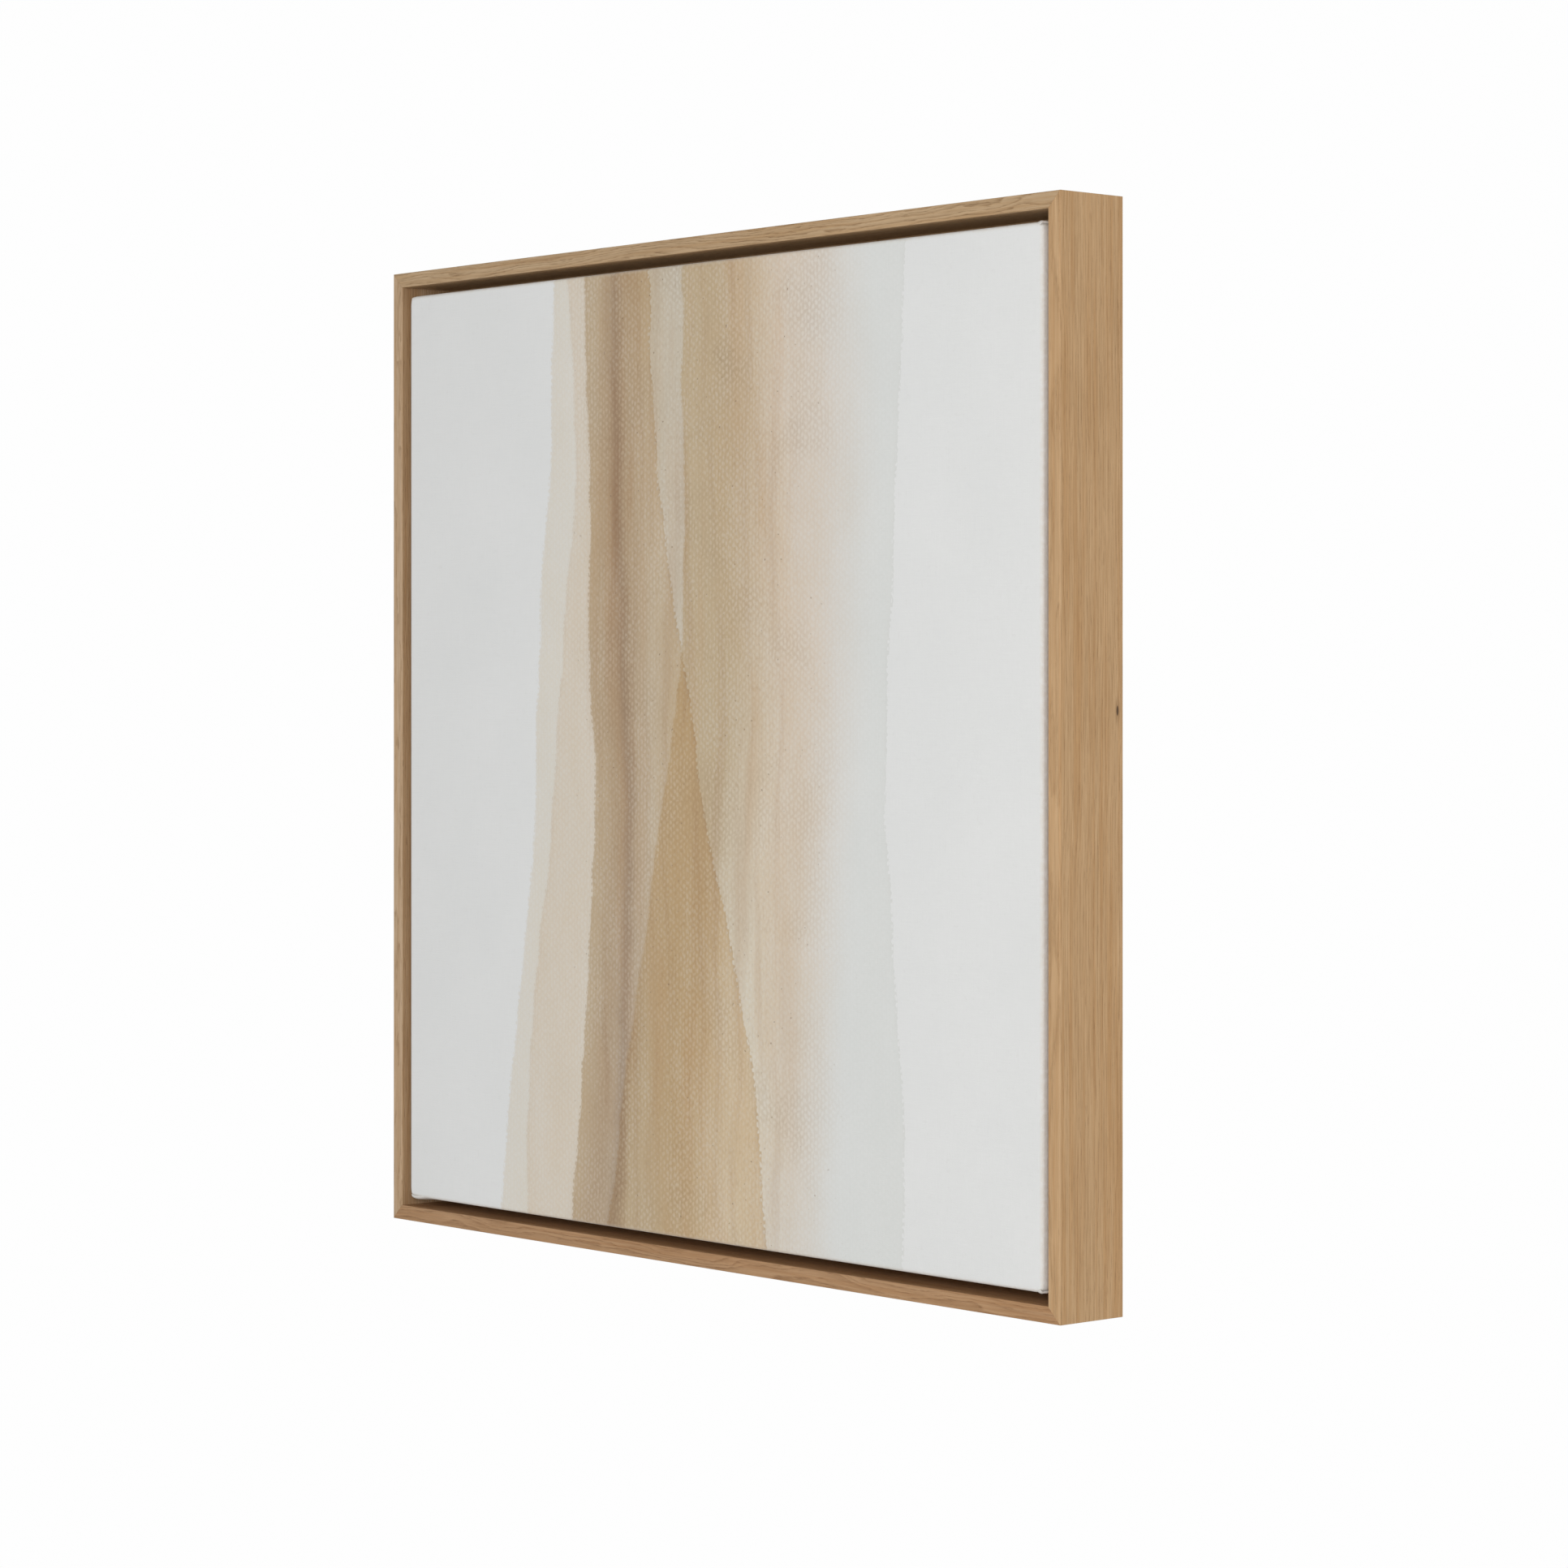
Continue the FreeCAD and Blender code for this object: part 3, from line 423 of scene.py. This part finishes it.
WASHES = [
    # Pale peach veil on the left.
    Wash(
        Edge(-146, 0.055, 12, 0.4, 4.0, 1.2, 0.20),
        Edge(-70, 0.02, 10, 1.2, 8, 60, 0),
        colour(249, 240, 230),
        0.75,
    ),
    # Khaki body of the main band.
    Wash(
        Edge(-112, 0.030, 9, 2.0, 4.0, 1.4, 0.26),
        Edge(40, 0.05, 16, 0.9, 6, 46, 0),
        colour(229, 216, 196),
        0.98,
    ),
    # Mauve-brown shadow in it.
    Wash(
        Edge(-104, 0.075, 14, 2.6, 9, 20, 0),
        Edge(-58, 0.060, 14, 2.5, 12, 24, 0),
        colour(234, 224, 216),
        0.85,
    ),
    # A narrow dark stroke down its middle.
    Wash(
        Edge(-84, 0.020, 11, 2.3, 8, 7, 0),
        Edge(-71, 0.012, 10, 2.2, 9, 8, 0),
        colour(224, 217, 216),
        0.70,
    ),
    # Warm tan with a crisp dried edge.
    Wash(
        Edge(-66, -0.090, 14, 0.2, 6, 46, 0),
        Edge(3, -0.165, 15, 3.5, 4.0, 1.0, 0.42),
        colour(246, 232, 212),
        0.85,
    ),
    # Beige body of the right half.
    Wash(
        Edge(-42, 0.110, 16, 1.1, 3.0, 1.0, 0.16),
        Edge(100, 0.020, 12, 2.4, 14, 60, 0),
        colour(244, 232, 212),
        0.95,
    ),
    # A cream wedge that opens towards the foot.
    Wash(
        Edge(-168, 0.110, 6, 2.2, 4.0, 2.0, 0.16),
        Edge(-60, 0.10, 6, 1.4, 3, 30, 0),
        colour(247, 239, 226),
        0.80,
    ),
    # Peach veil that fades out.
    Wash(
        Edge(40, -0.05, 12, 2.9, 12, 60, 0),
        Edge(132, 0.03, 10, 0.5, 12, 46, 0),
        colour(247, 233, 219),
        0.85,
    ),
    # Cool grey veil with a faint crisp edge.
    Wash(
        Edge(96, 0.04, 10, 1.6, 10, 60, 0),
        Edge(181, 0.012, 9, 4.2, 3.0, 1.0, 0.12),
        colour(246, 247, 245),
        0.85,
    ),
]
RIM_TINT = colour(172, 146, 120)
RIM_FADE = 0.9
RAGGEDNESS = 1.9


def lay_wash(g, base, x, z, wash, mottle, valleys):
    """One translucent wash between two edges; a rim is a thin broken line of darker pigment."""
    masks = []
    rims = []
    for order, edge in enumerate((wash.left, wash.right)):
        curve = g.mul(g.math("SINE", g.add(g.mul(z, 0.0085), edge.phase)), edge.bow)
        jitter = g.noise(g.combine(g.mul(z, 0.045), edge.at), detail=6, roughness=0.70)
        line_x = g.add(
            edge.at,
            g.mul(z, edge.lean),
            curve,
            g.swing(jitter, edge.wobble),
            g.swing(valleys, RAGGEDNESS),
        )
        inside = g.sub(x, line_x) if order == 0 else g.sub(line_x, x)
        masks.append(g.smooth(inside, -edge.softness * 0.5, edge.softness))
        if edge.rim:
            fade = g.math("EXPONENT", g.mul(g.math("ABSOLUTE", inside), -RIM_FADE))
            line = g.mul(g.smooth(inside, -0.4, 0.3), fade)
            broken_noise = g.noise(g.combine(g.mul(z, 0.07), edge.at + 3.0), detail=3)
            rims.append(g.mul(line, g.smooth(broken_noise, 0.30, 0.62), edge.rim))
    amount = g.mul(masks[0], masks[1])
    grainy = g.add(0.88, g.swing(mottle, 0.8), g.mul(valleys, 0.24))
    washed = g.glaze(g.mul(amount, wash.density, grainy), base, wash.tint)
    for line in rims:
        washed = g.glaze(g.mul(line, amount), washed, RIM_TINT)
    return washed


def painted_front(g, white, x, z):
    """The picture: soft upright washes of earth colour over a white ground."""
    plane = g.combine(x, z)
    valleys = granules(g, x, z)
    mottle = g.drawn_out((x, z), (0.030, 0.011), 5, 0.62)
    flow = g.add(x, g.swing(g.noise(plane, scale=0.008, detail=3), 22.0))
    paint = white
    for wash in WASHES:
        paint = lay_wash(g, paint, flow, z, wash, mottle, valleys)

    # Brown and peach streaks, short dashes and specks, all within the body of the washes.
    body = g.mul(g.smooth(flow, -116, -96), g.smooth(flow, 60, 110, 1.0, 0.0))
    streaks = g.smooth(g.drawn_out((flow, z), (0.075, 0.0045), 2), 0.46, 0.72)
    paint = g.glaze(g.mul(streaks, body, 0.25), paint, colour(216, 192, 172))
    hue_noise = g.noise(g.combine(g.mul(flow, 0.045), g.mul(z, 0.004), 7.0), detail=2)
    peach = g.smooth(hue_noise, 0.48, 0.64)
    paint = g.glaze(g.mul(peach, body, 0.30), paint, colour(250, 234, 218))
    dashes = g.smooth(g.drawn_out((x, z), (0.60, 0.22), 2), 0.50, 0.72)
    paint = g.glaze(g.mul(dashes, body, 0.20), paint, colour(214, 196, 176))
    speck_zone = g.mul(g.smooth(flow, -150, -80), g.smooth(flow, 80, 150, 1.0, 0.0))
    specks = g.mul(g.smooth(g.noise(plane, scale=0.33, detail=1), 0.745, 0.775), speck_zone)
    paint = g.mix(g.mul(specks, 0.6), paint, colour(136, 108, 84))

    # Pigment that settled in the texture, more of it towards the top.
    patches = g.smooth(g.noise(plane, scale=0.012, detail=3), 0.46, 0.66)
    veil = g.mul(g.smooth(flow, -130, -90), g.smooth(flow, 70, 150, 1.0, 0.0))
    strength = g.smooth(z, 40.0, 280.0, 0.14, 0.26)
    return g.mix(g.mul(valleys, patches, veil, strength), paint, colour(150, 132, 110))


def painted_canvas():
    """Primed cotton with a woven surface; only its front is painted."""
    g = Graph("painted_canvas")
    x, y, z = g.separate(g.place())
    plane = g.combine(x, z)
    height = weave(g, *cloth_place(g))
    pits = g.smooth(height, 0.25, 0.75, 1.0, 0.0)
    cloud = g.noise(plane, scale=0.011, detail=3)
    grit = g.noise(plane, scale=0.9, detail=2)

    white = g.mix(cloud, colour(230, 230, 227), colour(238, 237, 234))
    # Painted shade: the white ground is darker in the hollows of the weave.
    white = g.mix(g.mul(pits, 0.22), white, colour(212, 211, 208))
    on_front = g.smooth(y, FRONT_Y + 0.4, FRONT_Y + 1.6, 1.0, 0.0)
    # Painted light: the sides are a brighter white than the front's ground, and painted shade darkens the
    # hollows of their weave.
    side = g.mix(g.mul(pits, 0.22), colour(248, 247, 245), colour(222, 220, 216))
    surface = g.mix(on_front, side, painted_front(g, white, x, z))

    # Faint handling marks, and a warmer, darker tone along the folds that is partly handling dirt and
    # partly painted fold shade.
    smudge = g.drawn_out((x, y, z), (0.3, 0.3, 0.3), 4)
    surface = g.mix(g.mul(g.smooth(smudge, 0.6, 0.8), 0.06), surface, colour(180, 172, 160))
    out = g.math("MAXIMUM", g.math("ABSOLUTE", x), g.math("ABSOLUTE", z))
    fold_dirt_and_shade = g.mul(g.smooth(out, HALF - 3.0, HALF - 0.4), g.smooth(smudge, 0.30, 0.60, 0.35, 1.0))
    surface = g.mix(g.mul(fold_dirt_and_shade, 0.40), surface, colour(214, 203, 186))
    return g.finish(
        Base_Color=surface,
        Roughness=g.add(0.72, g.mul(pits, 0.12)),
        Normal=g.bump(g.add(g.mul(height, WEAVE_DEPTH), g.mul(grit, 0.015)), 0.85),
        Specular_IOR_Level=0.3,
    )


def raw_cotton():
    """The unprimed back of the cloth: warm grey threads with seed flecks."""
    g = Graph("raw_cotton")
    flat_x, flat_y = cloth_place(g)
    height = weave(g, flat_x, flat_y)
    threads = g.drawn_out((flat_x, flat_y), (0.2, 1.4), 3)
    seeds = g.smooth(g.noise(g.combine(flat_x, flat_y), scale=0.6, detail=1), 0.74, 0.78)
    # Painted shade: the cloth is darker in the hollows of the weave and paler on its crossings.
    base = g.mix(g.smooth(height, 0.2, 0.8), colour(190, 176, 150), colour(226, 216, 196))
    base = g.mix(g.mul(g.sub(threads, 0.4), 0.5), base, colour(206, 192, 166))
    base = g.mix(g.mul(seeds, 0.7), base, colour(120, 96, 66))
    return g.finish(
        Base_Color=base,
        Roughness=0.9,
        Normal=g.bump(g.mul(height, WEAVE_DEPTH), 0.9),
        Specular_IOR_Level=0.2,
        Sheen_Weight=0.15,
        Sheen_Roughness=0.5,
    )


# ---------------------------------------------------------------- canvas shape

FRONT_ROUND = 2.0
BACK_ROUND = 1.5
FLAP = 36.0
CLOTH_THICK = 0.4
CORNER_ZONE = 6.0
CORNER_PULL = 0.55
WAVE_HEIGHT = 0.22
SET_BACK = 0.12
FRAY = 0.5

# How finely the cloth is divided: along a side, near its ends, round a corner, round a fold,
# down a side and across a flap.
ACROSS = 48
NEAR_CORNER = 8.0
NEAR_STEPS = 4
CORNER_STEPS = 8
FOLD_STEPS = 8
SIDE_STEPS = 12
FLAP_STEPS = 6


def pulled_corner(x, z):
    """The pull of the folds draws each corner of the picture in, towards a quarter circle."""
    start = HALF - CORNER_ZONE
    across, up = abs(x) - start, abs(z) - start
    if across <= 0 or up <= 0:
        return x, z
    squareness = max(across, up) / math.hypot(across, up)
    share = 1 - CORNER_PULL * (1 - squareness)
    return math.copysign(start + across * share, x), math.copysign(start + up * share, z)


class Cloth:
    """Points and faces of the stretched cloth, with each point's place on the flat piece."""

    def __init__(self):
        self.points = []
        self.flat = []
        self.faces = []

    def point(self, position, flat):
        x, z = pulled_corner(position[0], position[2])
        self.points.append((x, position[1], z))
        self.flat.append(flat)
        return len(self.points) - 1

    def strip(self, first, second, flip=False):
        """Join two rows of points with faces, leaving out sides that have shrunk to a point."""
        for i in range(len(first) - 1):
            face = [first[i], first[i + 1], second[i + 1], second[i]]
            if flip:
                face.reverse()
            whole = [v for k, v in enumerate(face) if v != face[k - 1]]
            if len(whole) > 2:
                self.faces.append(whole)

    def mesh(self, name):
        """Write the mesh in metres and its flat places as a UV map."""
        data = bpy.data.meshes.new(name)
        data.from_pydata([[c * MM for c in p] for p in self.points], [], self.faces)
        layer = data.uv_layers.new(name="cloth")
        for loop in data.loops:
            flat_x, flat_y = self.flat[loop.vertex_index]
            layer.data[loop.index].uv = (flat_x * MM, flat_y * MM)
        for face in data.polygons:
            face.use_smooth = True
        data.validate()
        return data


def stations(inner):
    """Places along a side, from -inner to inner, closer together near the two corners."""
    steps = ACROSS - 2 * NEAR_STEPS
    start = inner - NEAR_CORNER
    close = [start + NEAR_CORNER * i / NEAR_STEPS for i in range(1, NEAR_STEPS + 1)]
    middle = [start * (2 * i / steps - 1) for i in range(steps + 1)]
    return [-place for place in reversed(close)] + middle + close


Row = namedtuple("Row", "reach corner y flat")


def profile():
    """The cloth's section from the front's edge, round both folds, to the end of the flap.

    A row has its distance from the middle, the radius of its corners, its depth, and how far it
    is from the front's edge along the cloth.
    """
    rows = []
    for i in range(1, FOLD_STEPS + 1):
        angle = math.pi / 2 * i / FOLD_STEPS
        reach = FRONT_ROUND * math.sin(angle)
        y = FRONT_Y + FRONT_ROUND * (1 - math.cos(angle))
        rows.append(Row(HALF - FRONT_ROUND + reach, reach, y, FRONT_ROUND * angle))
    side = BACK_Y - BACK_ROUND - (FRONT_Y + FRONT_ROUND)
    flat = rows[-1].flat
    for i in range(1, SIDE_STEPS + 1):
        down = side * i / SIDE_STEPS
        rows.append(Row(HALF, FRONT_ROUND, FRONT_Y + FRONT_ROUND + down, flat + down))
    flat = rows[-1].flat
    for i in range(1, FOLD_STEPS + 1):
        angle = math.pi / 2 * i / FOLD_STEPS
        drop = BACK_ROUND * (1 - math.cos(angle))
        y = BACK_Y - BACK_ROUND + BACK_ROUND * math.sin(angle)
        rows.append(Row(HALF - drop, FRONT_ROUND - drop, y, flat + BACK_ROUND * angle))
    flat = rows[-1].flat
    reach = HALF - BACK_ROUND
    length = reach - (HALF - FLAP)
    for i in range(1, FLAP_STEPS + 1):
        share = i / FLAP_STEPS
        corner = (FRONT_ROUND - BACK_ROUND) * (1 - share)
        rows.append(Row(reach - length * share, corner, BACK_Y, flat + length * share))
    return rows


def turned(out, up, quarter):
    """Turn a place on the right side by this many quarters, anticlockwise."""
    cos, sin = [(1, 0), (0, 1), (-1, 0), (0, -1)][quarter]
    return out * cos - up * sin, out * sin + up * cos


def loop_points(cloth, row, fray):
    """One closed row of points round the picture, from the bottom right corner anticlockwise."""
    inner = row.reach - row.corner
    flat_inner = HALF - FRONT_ROUND
    made = []
    for quarter in range(4):
        spots = [
            (row.reach, up, flat_inner + row.flat, flat_up)
            for up, flat_up in zip(stations(inner), stations(flat_inner))
        ]
        for i in range(1, CORNER_STEPS):
            angle = math.pi / 2 * i / CORNER_STEPS
            a, b = math.cos(angle), math.sin(angle)
            place = (inner + row.corner * a, inner + row.corner * b)
            spots.append(place + (flat_inner + row.flat * a, flat_inner + row.flat * b))
        for out, up, flat_out, flat_up in spots:
            if fray:
                out += fray * noise.noise(Vector((up * 0.35, quarter * 9.0, 1.0)))
            x, z = turned(out, up, quarter)
            made.append(cloth.point((x, row.y, z), turned(flat_out, flat_up, quarter)))
    made.append(made[0])
    return made


def stretched_front(cloth):
    """The flat front: a grid whose rim is one closed row, with very slight waves from the pull."""
    inner = HALF - FRONT_ROUND
    places = stations(inner)
    grid = []
    for z in places:
        line = []
        for x in places:
            edge = min(inner - abs(x), inner - abs(z))
            wave = WAVE_HEIGHT * noise.noise(Vector((x * 0.011, z * 0.011, 4.0))) * min(1.0, edge / 40)
            y = FRONT_Y + SET_BACK * min(1.0, edge / 30) + abs(wave)
            line.append(cloth.point((x, y, z), (x, z)))
        grid.append(line)
    for lower, upper in zip(grid, grid[1:]):
        cloth.strip(lower, upper)
    sides = (
        [line[-1] for line in grid],
        grid[-1][::-1],
        [line[0] for line in reversed(grid)],
        grid[0],
    )
    rim = []
    for side in sides:
        rim += side + [side[-1]] * (CORNER_STEPS - 1)
    rim.append(rim[0])
    return rim


# A pleat: which corner, how high it stands and how soon, how far in it starts, how wide it is at
# the front, and how long its slope is. The lower left fold is the bulky one.
Pleat = namedtuple("Pleat", "x_sign z_sign height onset inset width slope")
PLEATS = (
    Pleat(1, 1, 1.15, 1.6, 0.15, 3.0, 3.5),
    Pleat(1, -1, 1.15, 1.6, 0.15, 3.0, 3.5),
    Pleat(-1, 1, 0.45, 14.0, 1.4, 3.0, 3.5),
    Pleat(-1, -1, 1.9, 2.0, 1.7, 16.0, 12.5),
)
PLEAT_TURNS = 8
PLEAT_ACROSS = 12
PLEAT_START = 0.5


def pleat_lift(inset, width, rise, slope):
    """How far the pleat stands off the side, this far in from its folded edge."""
    fall = min(1.0, max(0.0, (inset - (width - slope)) / slope))
    swell = 0.22 * math.exp(-((inset / 2.2) ** 2)) * math.sin(math.pi * min(1.0, inset / 4))
    return rise * (1 - fall * fall * (3 - 2 * fall) + swell) - 0.06 * fall


def pleat_section(pleat, flat):
    """The pleat's section this far round from the front: a rounded edge, then its slope."""
    rise = pleat.height * (1 - math.exp(-flat / pleat.onset))
    width = flat + pleat.width
    section = []
    for k in range(PLEAT_TURNS):
        angle = math.pi * (k / PLEAT_TURNS - 0.5)
        inset = pleat.inset + rise * 0.5 * (1 - math.cos(angle))
        section.append((inset, rise * 0.5 * (1 + math.sin(angle))))
    start = pleat.inset + rise * 0.5
    for k in range(PLEAT_ACROSS + 1):
        inset = start + (width - start) * k / PLEAT_ACROSS
        section.append((inset, pleat_lift(inset, width, rise, pleat.slope)))
    return section


def corner_pleats(cloth):
    """The spare cloth at each corner: folded under and laid flat on the top and bottom sides."""
    rows = [Row(HALF - FRONT_ROUND, 0.0, FRONT_Y, 0.0)] + profile()
    last = FOLD_STEPS + SIDE_STEPS + FOLD_STEPS
    for pleat in PLEATS:
        previous = None
        for before, row, after in zip(rows, rows[1:last], rows[2:]):
            if row.flat < PLEAT_START:
                continue
            out_z, out_y = Vector((after.y - before.y, before.reach - after.reach)).normalized()
            line = []
            for inset, lift in pleat_section(pleat, row.flat):
                x = pleat.x_sign * (HALF - inset)
                z = pleat.z_sign * (row.reach + out_z * lift)
                flat_z = pleat.z_sign * (HALF - FRONT_ROUND + row.flat)
                line.append(cloth.point((x, row.y + out_y * lift, z), (x, flat_z)))
            if previous:
                cloth.strip(previous, line, flip=(pleat.x_sign * pleat.z_sign > 0))
            previous = line


LAYER = 0.45
LAYER_SLOPE = 4.0
PATCH_STEPS = 10


def back_corners(cloth):
    """Behind each corner the top and bottom flaps lie over the side flaps, and go under the ledge."""
    under_ledge = LEDGE_EDGE - 1.0
    edge = HALF - FLAP - LAYER_SLOPE
    for x_sign in (1, -1):
        for z_sign in (1, -1):
            previous = None
            for j in range(PATCH_STEPS + 1):
                z = HALF - FLAP + (FLAP - 2.5) * j / PATCH_STEPS
                line = []
                for i in range(PATCH_STEPS + 3):
                    x = edge + (FLAP + 1.5) * i / (PATCH_STEPS + 2)
                    clear = min(1.0, max(0.0, (under_ledge - max(x, z)) / LAYER_SLOPE))
                    raised = min(1.0, max(0.0, (x - edge) / LAYER_SLOPE))
                    y = BACK_Y + 0.02 + LAYER * clear * raised
                    ragged = 0.25 * noise.noise(Vector((x * 0.4, 3.0 * x_sign, z_sign))) if j == 0 else 0.0
                    position = (x_sign * x, y, z_sign * (z - 0.3 + ragged))
                    line.append(cloth.point(position, (x_sign * x, z_sign * (HALF + 60 - z))))
                if previous:
                    cloth.strip(previous, line, flip=(x_sign * z_sign > 0))
                previous = line


def stretch_canvas():
    """The painted cloth over its bars, as one piece."""
    cloth = Cloth()
    previous = stretched_front(cloth)
    rows = profile()
    for row in rows:
        following = loop_points(cloth, row, FRAY if row is rows[-1] else 0.0)
        cloth.strip(previous, following, flip=True)
        previous = following
    corner_pleats(cloth)
    back_corners(cloth)
    piece = bpy.data.objects.new("canvas_cloth", cloth.mesh("canvas_cloth"))
    bpy.context.scene.collection.objects.link(piece)
    piece.data.materials.append(painted_canvas())
    piece.data.materials.append(raw_cotton())
    thick = piece.modifiers.new("thickness", "SOLIDIFY")
    thick.thickness = CLOTH_THICK * MM
    thick.offset = -1.0
    thick.material_offset = 1
    thick.material_offset_rim = 1
    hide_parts("canvas")
    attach(piece, "frame")


# ---------------------------------------------------------------- the object

# Each side: which way it runs and which way is out.
SIDES = {"right": ("z", "+x"), "left": ("z", "-x"), "top": ("x", "+z"), "bottom": ("x", "-z")}

# Each board: seed, tint, pith, pitch, waviness, figure and knot.
BOARDS = {
    "right": (0.0, colour(190, 154, 112), (286.0, 92.0), 2.2, 1.9, 0.8, (26.0, -4.5, 1.1)),
    "left": (640.0, colour(187, 158, 125), (284.0, 30.0), 1.8, 4.2, 1.5),
    "top": (1490.0, colour(181, 152, 116), (270.0, 12.0), 1.25, 3.4, 1.9),
    "bottom": (2270.0, colour(172, 134, 96), (282.0, 10.0), 1.4, 2.4, 1.5),
}


def dress_cad():
    """Give every CAD node that shows its material."""
    for order, (side, (along, outward)) in enumerate(SIDES.items()):
        give(oak(side, along, outward, *BOARDS[side]), f"rail_{side}")
        give(pine(side, along, outward, 830.0 * order), f"stretcher_bar_{side}")
    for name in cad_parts:
        if name.startswith("tension_key"):
            along = "x" if name.endswith("side") else "z"
            give(beech(f"beech_{name}", along, 37.0 * len(name)), name)
    hangers = [f"hanger_{part}_{side}" for part in ("strap", "ring") for side in ("left", "right")]
    give(metal("nickel", (0.62, 0.60, 0.56, 1.0), 0.26, 0.01, 0.25), "hanger_screws", *hangers)
    give(metal("zinc", (0.60, 0.58, 0.50, 1.0), 0.36, 0.015, 0.35), "canvas_mounting_screws")
    give(metal("steel", (0.50, 0.50, 0.50, 1.0), 0.32, 0.012, 0.4), "canvas_staples", "corner_v_nails")


# ---------------------------------------------------------------- floor, light and camera

FLOOR_RADIUS = 4.0
FLOOR_Z = -1.5


def lay_floor():
    """A plain pale floor well below the hanging frame."""
    bpy.ops.mesh.primitive_circle_add(
        vertices=96, radius=FLOOR_RADIUS, fill_type="NGON", location=(0, 0, FLOOR_Z)
    )
    floor = bpy.context.object
    floor.name = "floor"
    g = Graph("pale_floor")
    cloudy = g.noise(g.place(), scale=0.004, detail=3)
    tone = g.mix(cloudy, (0.86, 0.86, 0.85, 1.0), (0.90, 0.90, 0.89, 1.0))
    floor.data.materials.append(g.finish(Base_Color=tone, Roughness=0.85))


def soft_light(name, location, size, power):
    """One large soft lamp turned to the middle of the frame."""
    lamp = bpy.data.lights.new(name, "AREA")
    lamp.shape = "DISK"
    lamp.size = size
    lamp.energy = power
    holder = bpy.data.objects.new(name, lamp)
    bpy.context.scene.collection.objects.link(holder)
    holder.location = location
    holder.rotation_euler = (-Vector(location)).to_track_quat("-Z", "Y").to_euler()


def light_room():
    """White surroundings; the air behind the object is a little brighter than what lights it."""
    world = bpy.data.worlds.new("studio")
    bpy.context.scene.world = world
    world.use_nodes = True
    tree = world.node_tree
    tree.nodes.clear()
    seen = tree.nodes.new("ShaderNodeBackground")
    seen.inputs["Color"].default_value = (0.99, 0.99, 0.99, 1.0)
    lit = tree.nodes.new("ShaderNodeBackground")
    lit.inputs["Color"].default_value = (0.95, 0.97, 1.0, 1.0)
    lit.inputs["Strength"].default_value = 0.55
    path = tree.nodes.new("ShaderNodeLightPath")
    mix = tree.nodes.new("ShaderNodeMixShader")
    output = tree.nodes.new("ShaderNodeOutputWorld")
    tree.links.new(path.outputs["Is Camera Ray"], mix.inputs[0])
    tree.links.new(lit.outputs[0], mix.inputs[1])
    tree.links.new(seen.outputs[0], mix.inputs[2])
    tree.links.new(mix.outputs[0], output.inputs[0])
    soft_light("key", (2.03, -1.78, 0.25), 1.0, 28.0)
    soft_light("fill", (-1.2, -2.8, 0.1), 2.2, 7.0)
    soft_light("back", (-1.0, 2.6, 1.1), 1.6, 22.0)


AZIMUTH = math.radians(48.94)
CAMERA_AWAY = 2.571
CAMERA_RIGHT = 0.054
CAMERA_UP = 0.0374
LENS = 96.28
SENSOR = 36.0
SHIFT = -0.0597


def set_camera():
    """A long lens, held level, from the right of the frame and a little above its middle."""
    data = bpy.data.cameras.new("camera")
    data.lens = LENS
    data.sensor_width = SENSOR
    data.shift_y = SHIFT
    camera = bpy.data.objects.new("camera", data)
    bpy.context.scene.collection.objects.link(camera)
    forward = Vector((-math.sin(AZIMUTH), math.cos(AZIMUTH), 0))
    right = Vector((math.cos(AZIMUTH), math.sin(AZIMUTH), 0))
    face = Vector((0, cad_box[0].y, 0))
    camera.location = face - CAMERA_AWAY * forward + CAMERA_RIGHT * right + Vector((0, 0, CAMERA_UP))
    camera.rotation_euler = (math.pi / 2, 0, AZIMUTH)
    bpy.context.scene.camera = camera


dress_cad()
stretch_canvas()
lay_floor()
light_room()
set_camera()
bpy.context.scene.view_settings.view_transform = "Standard"
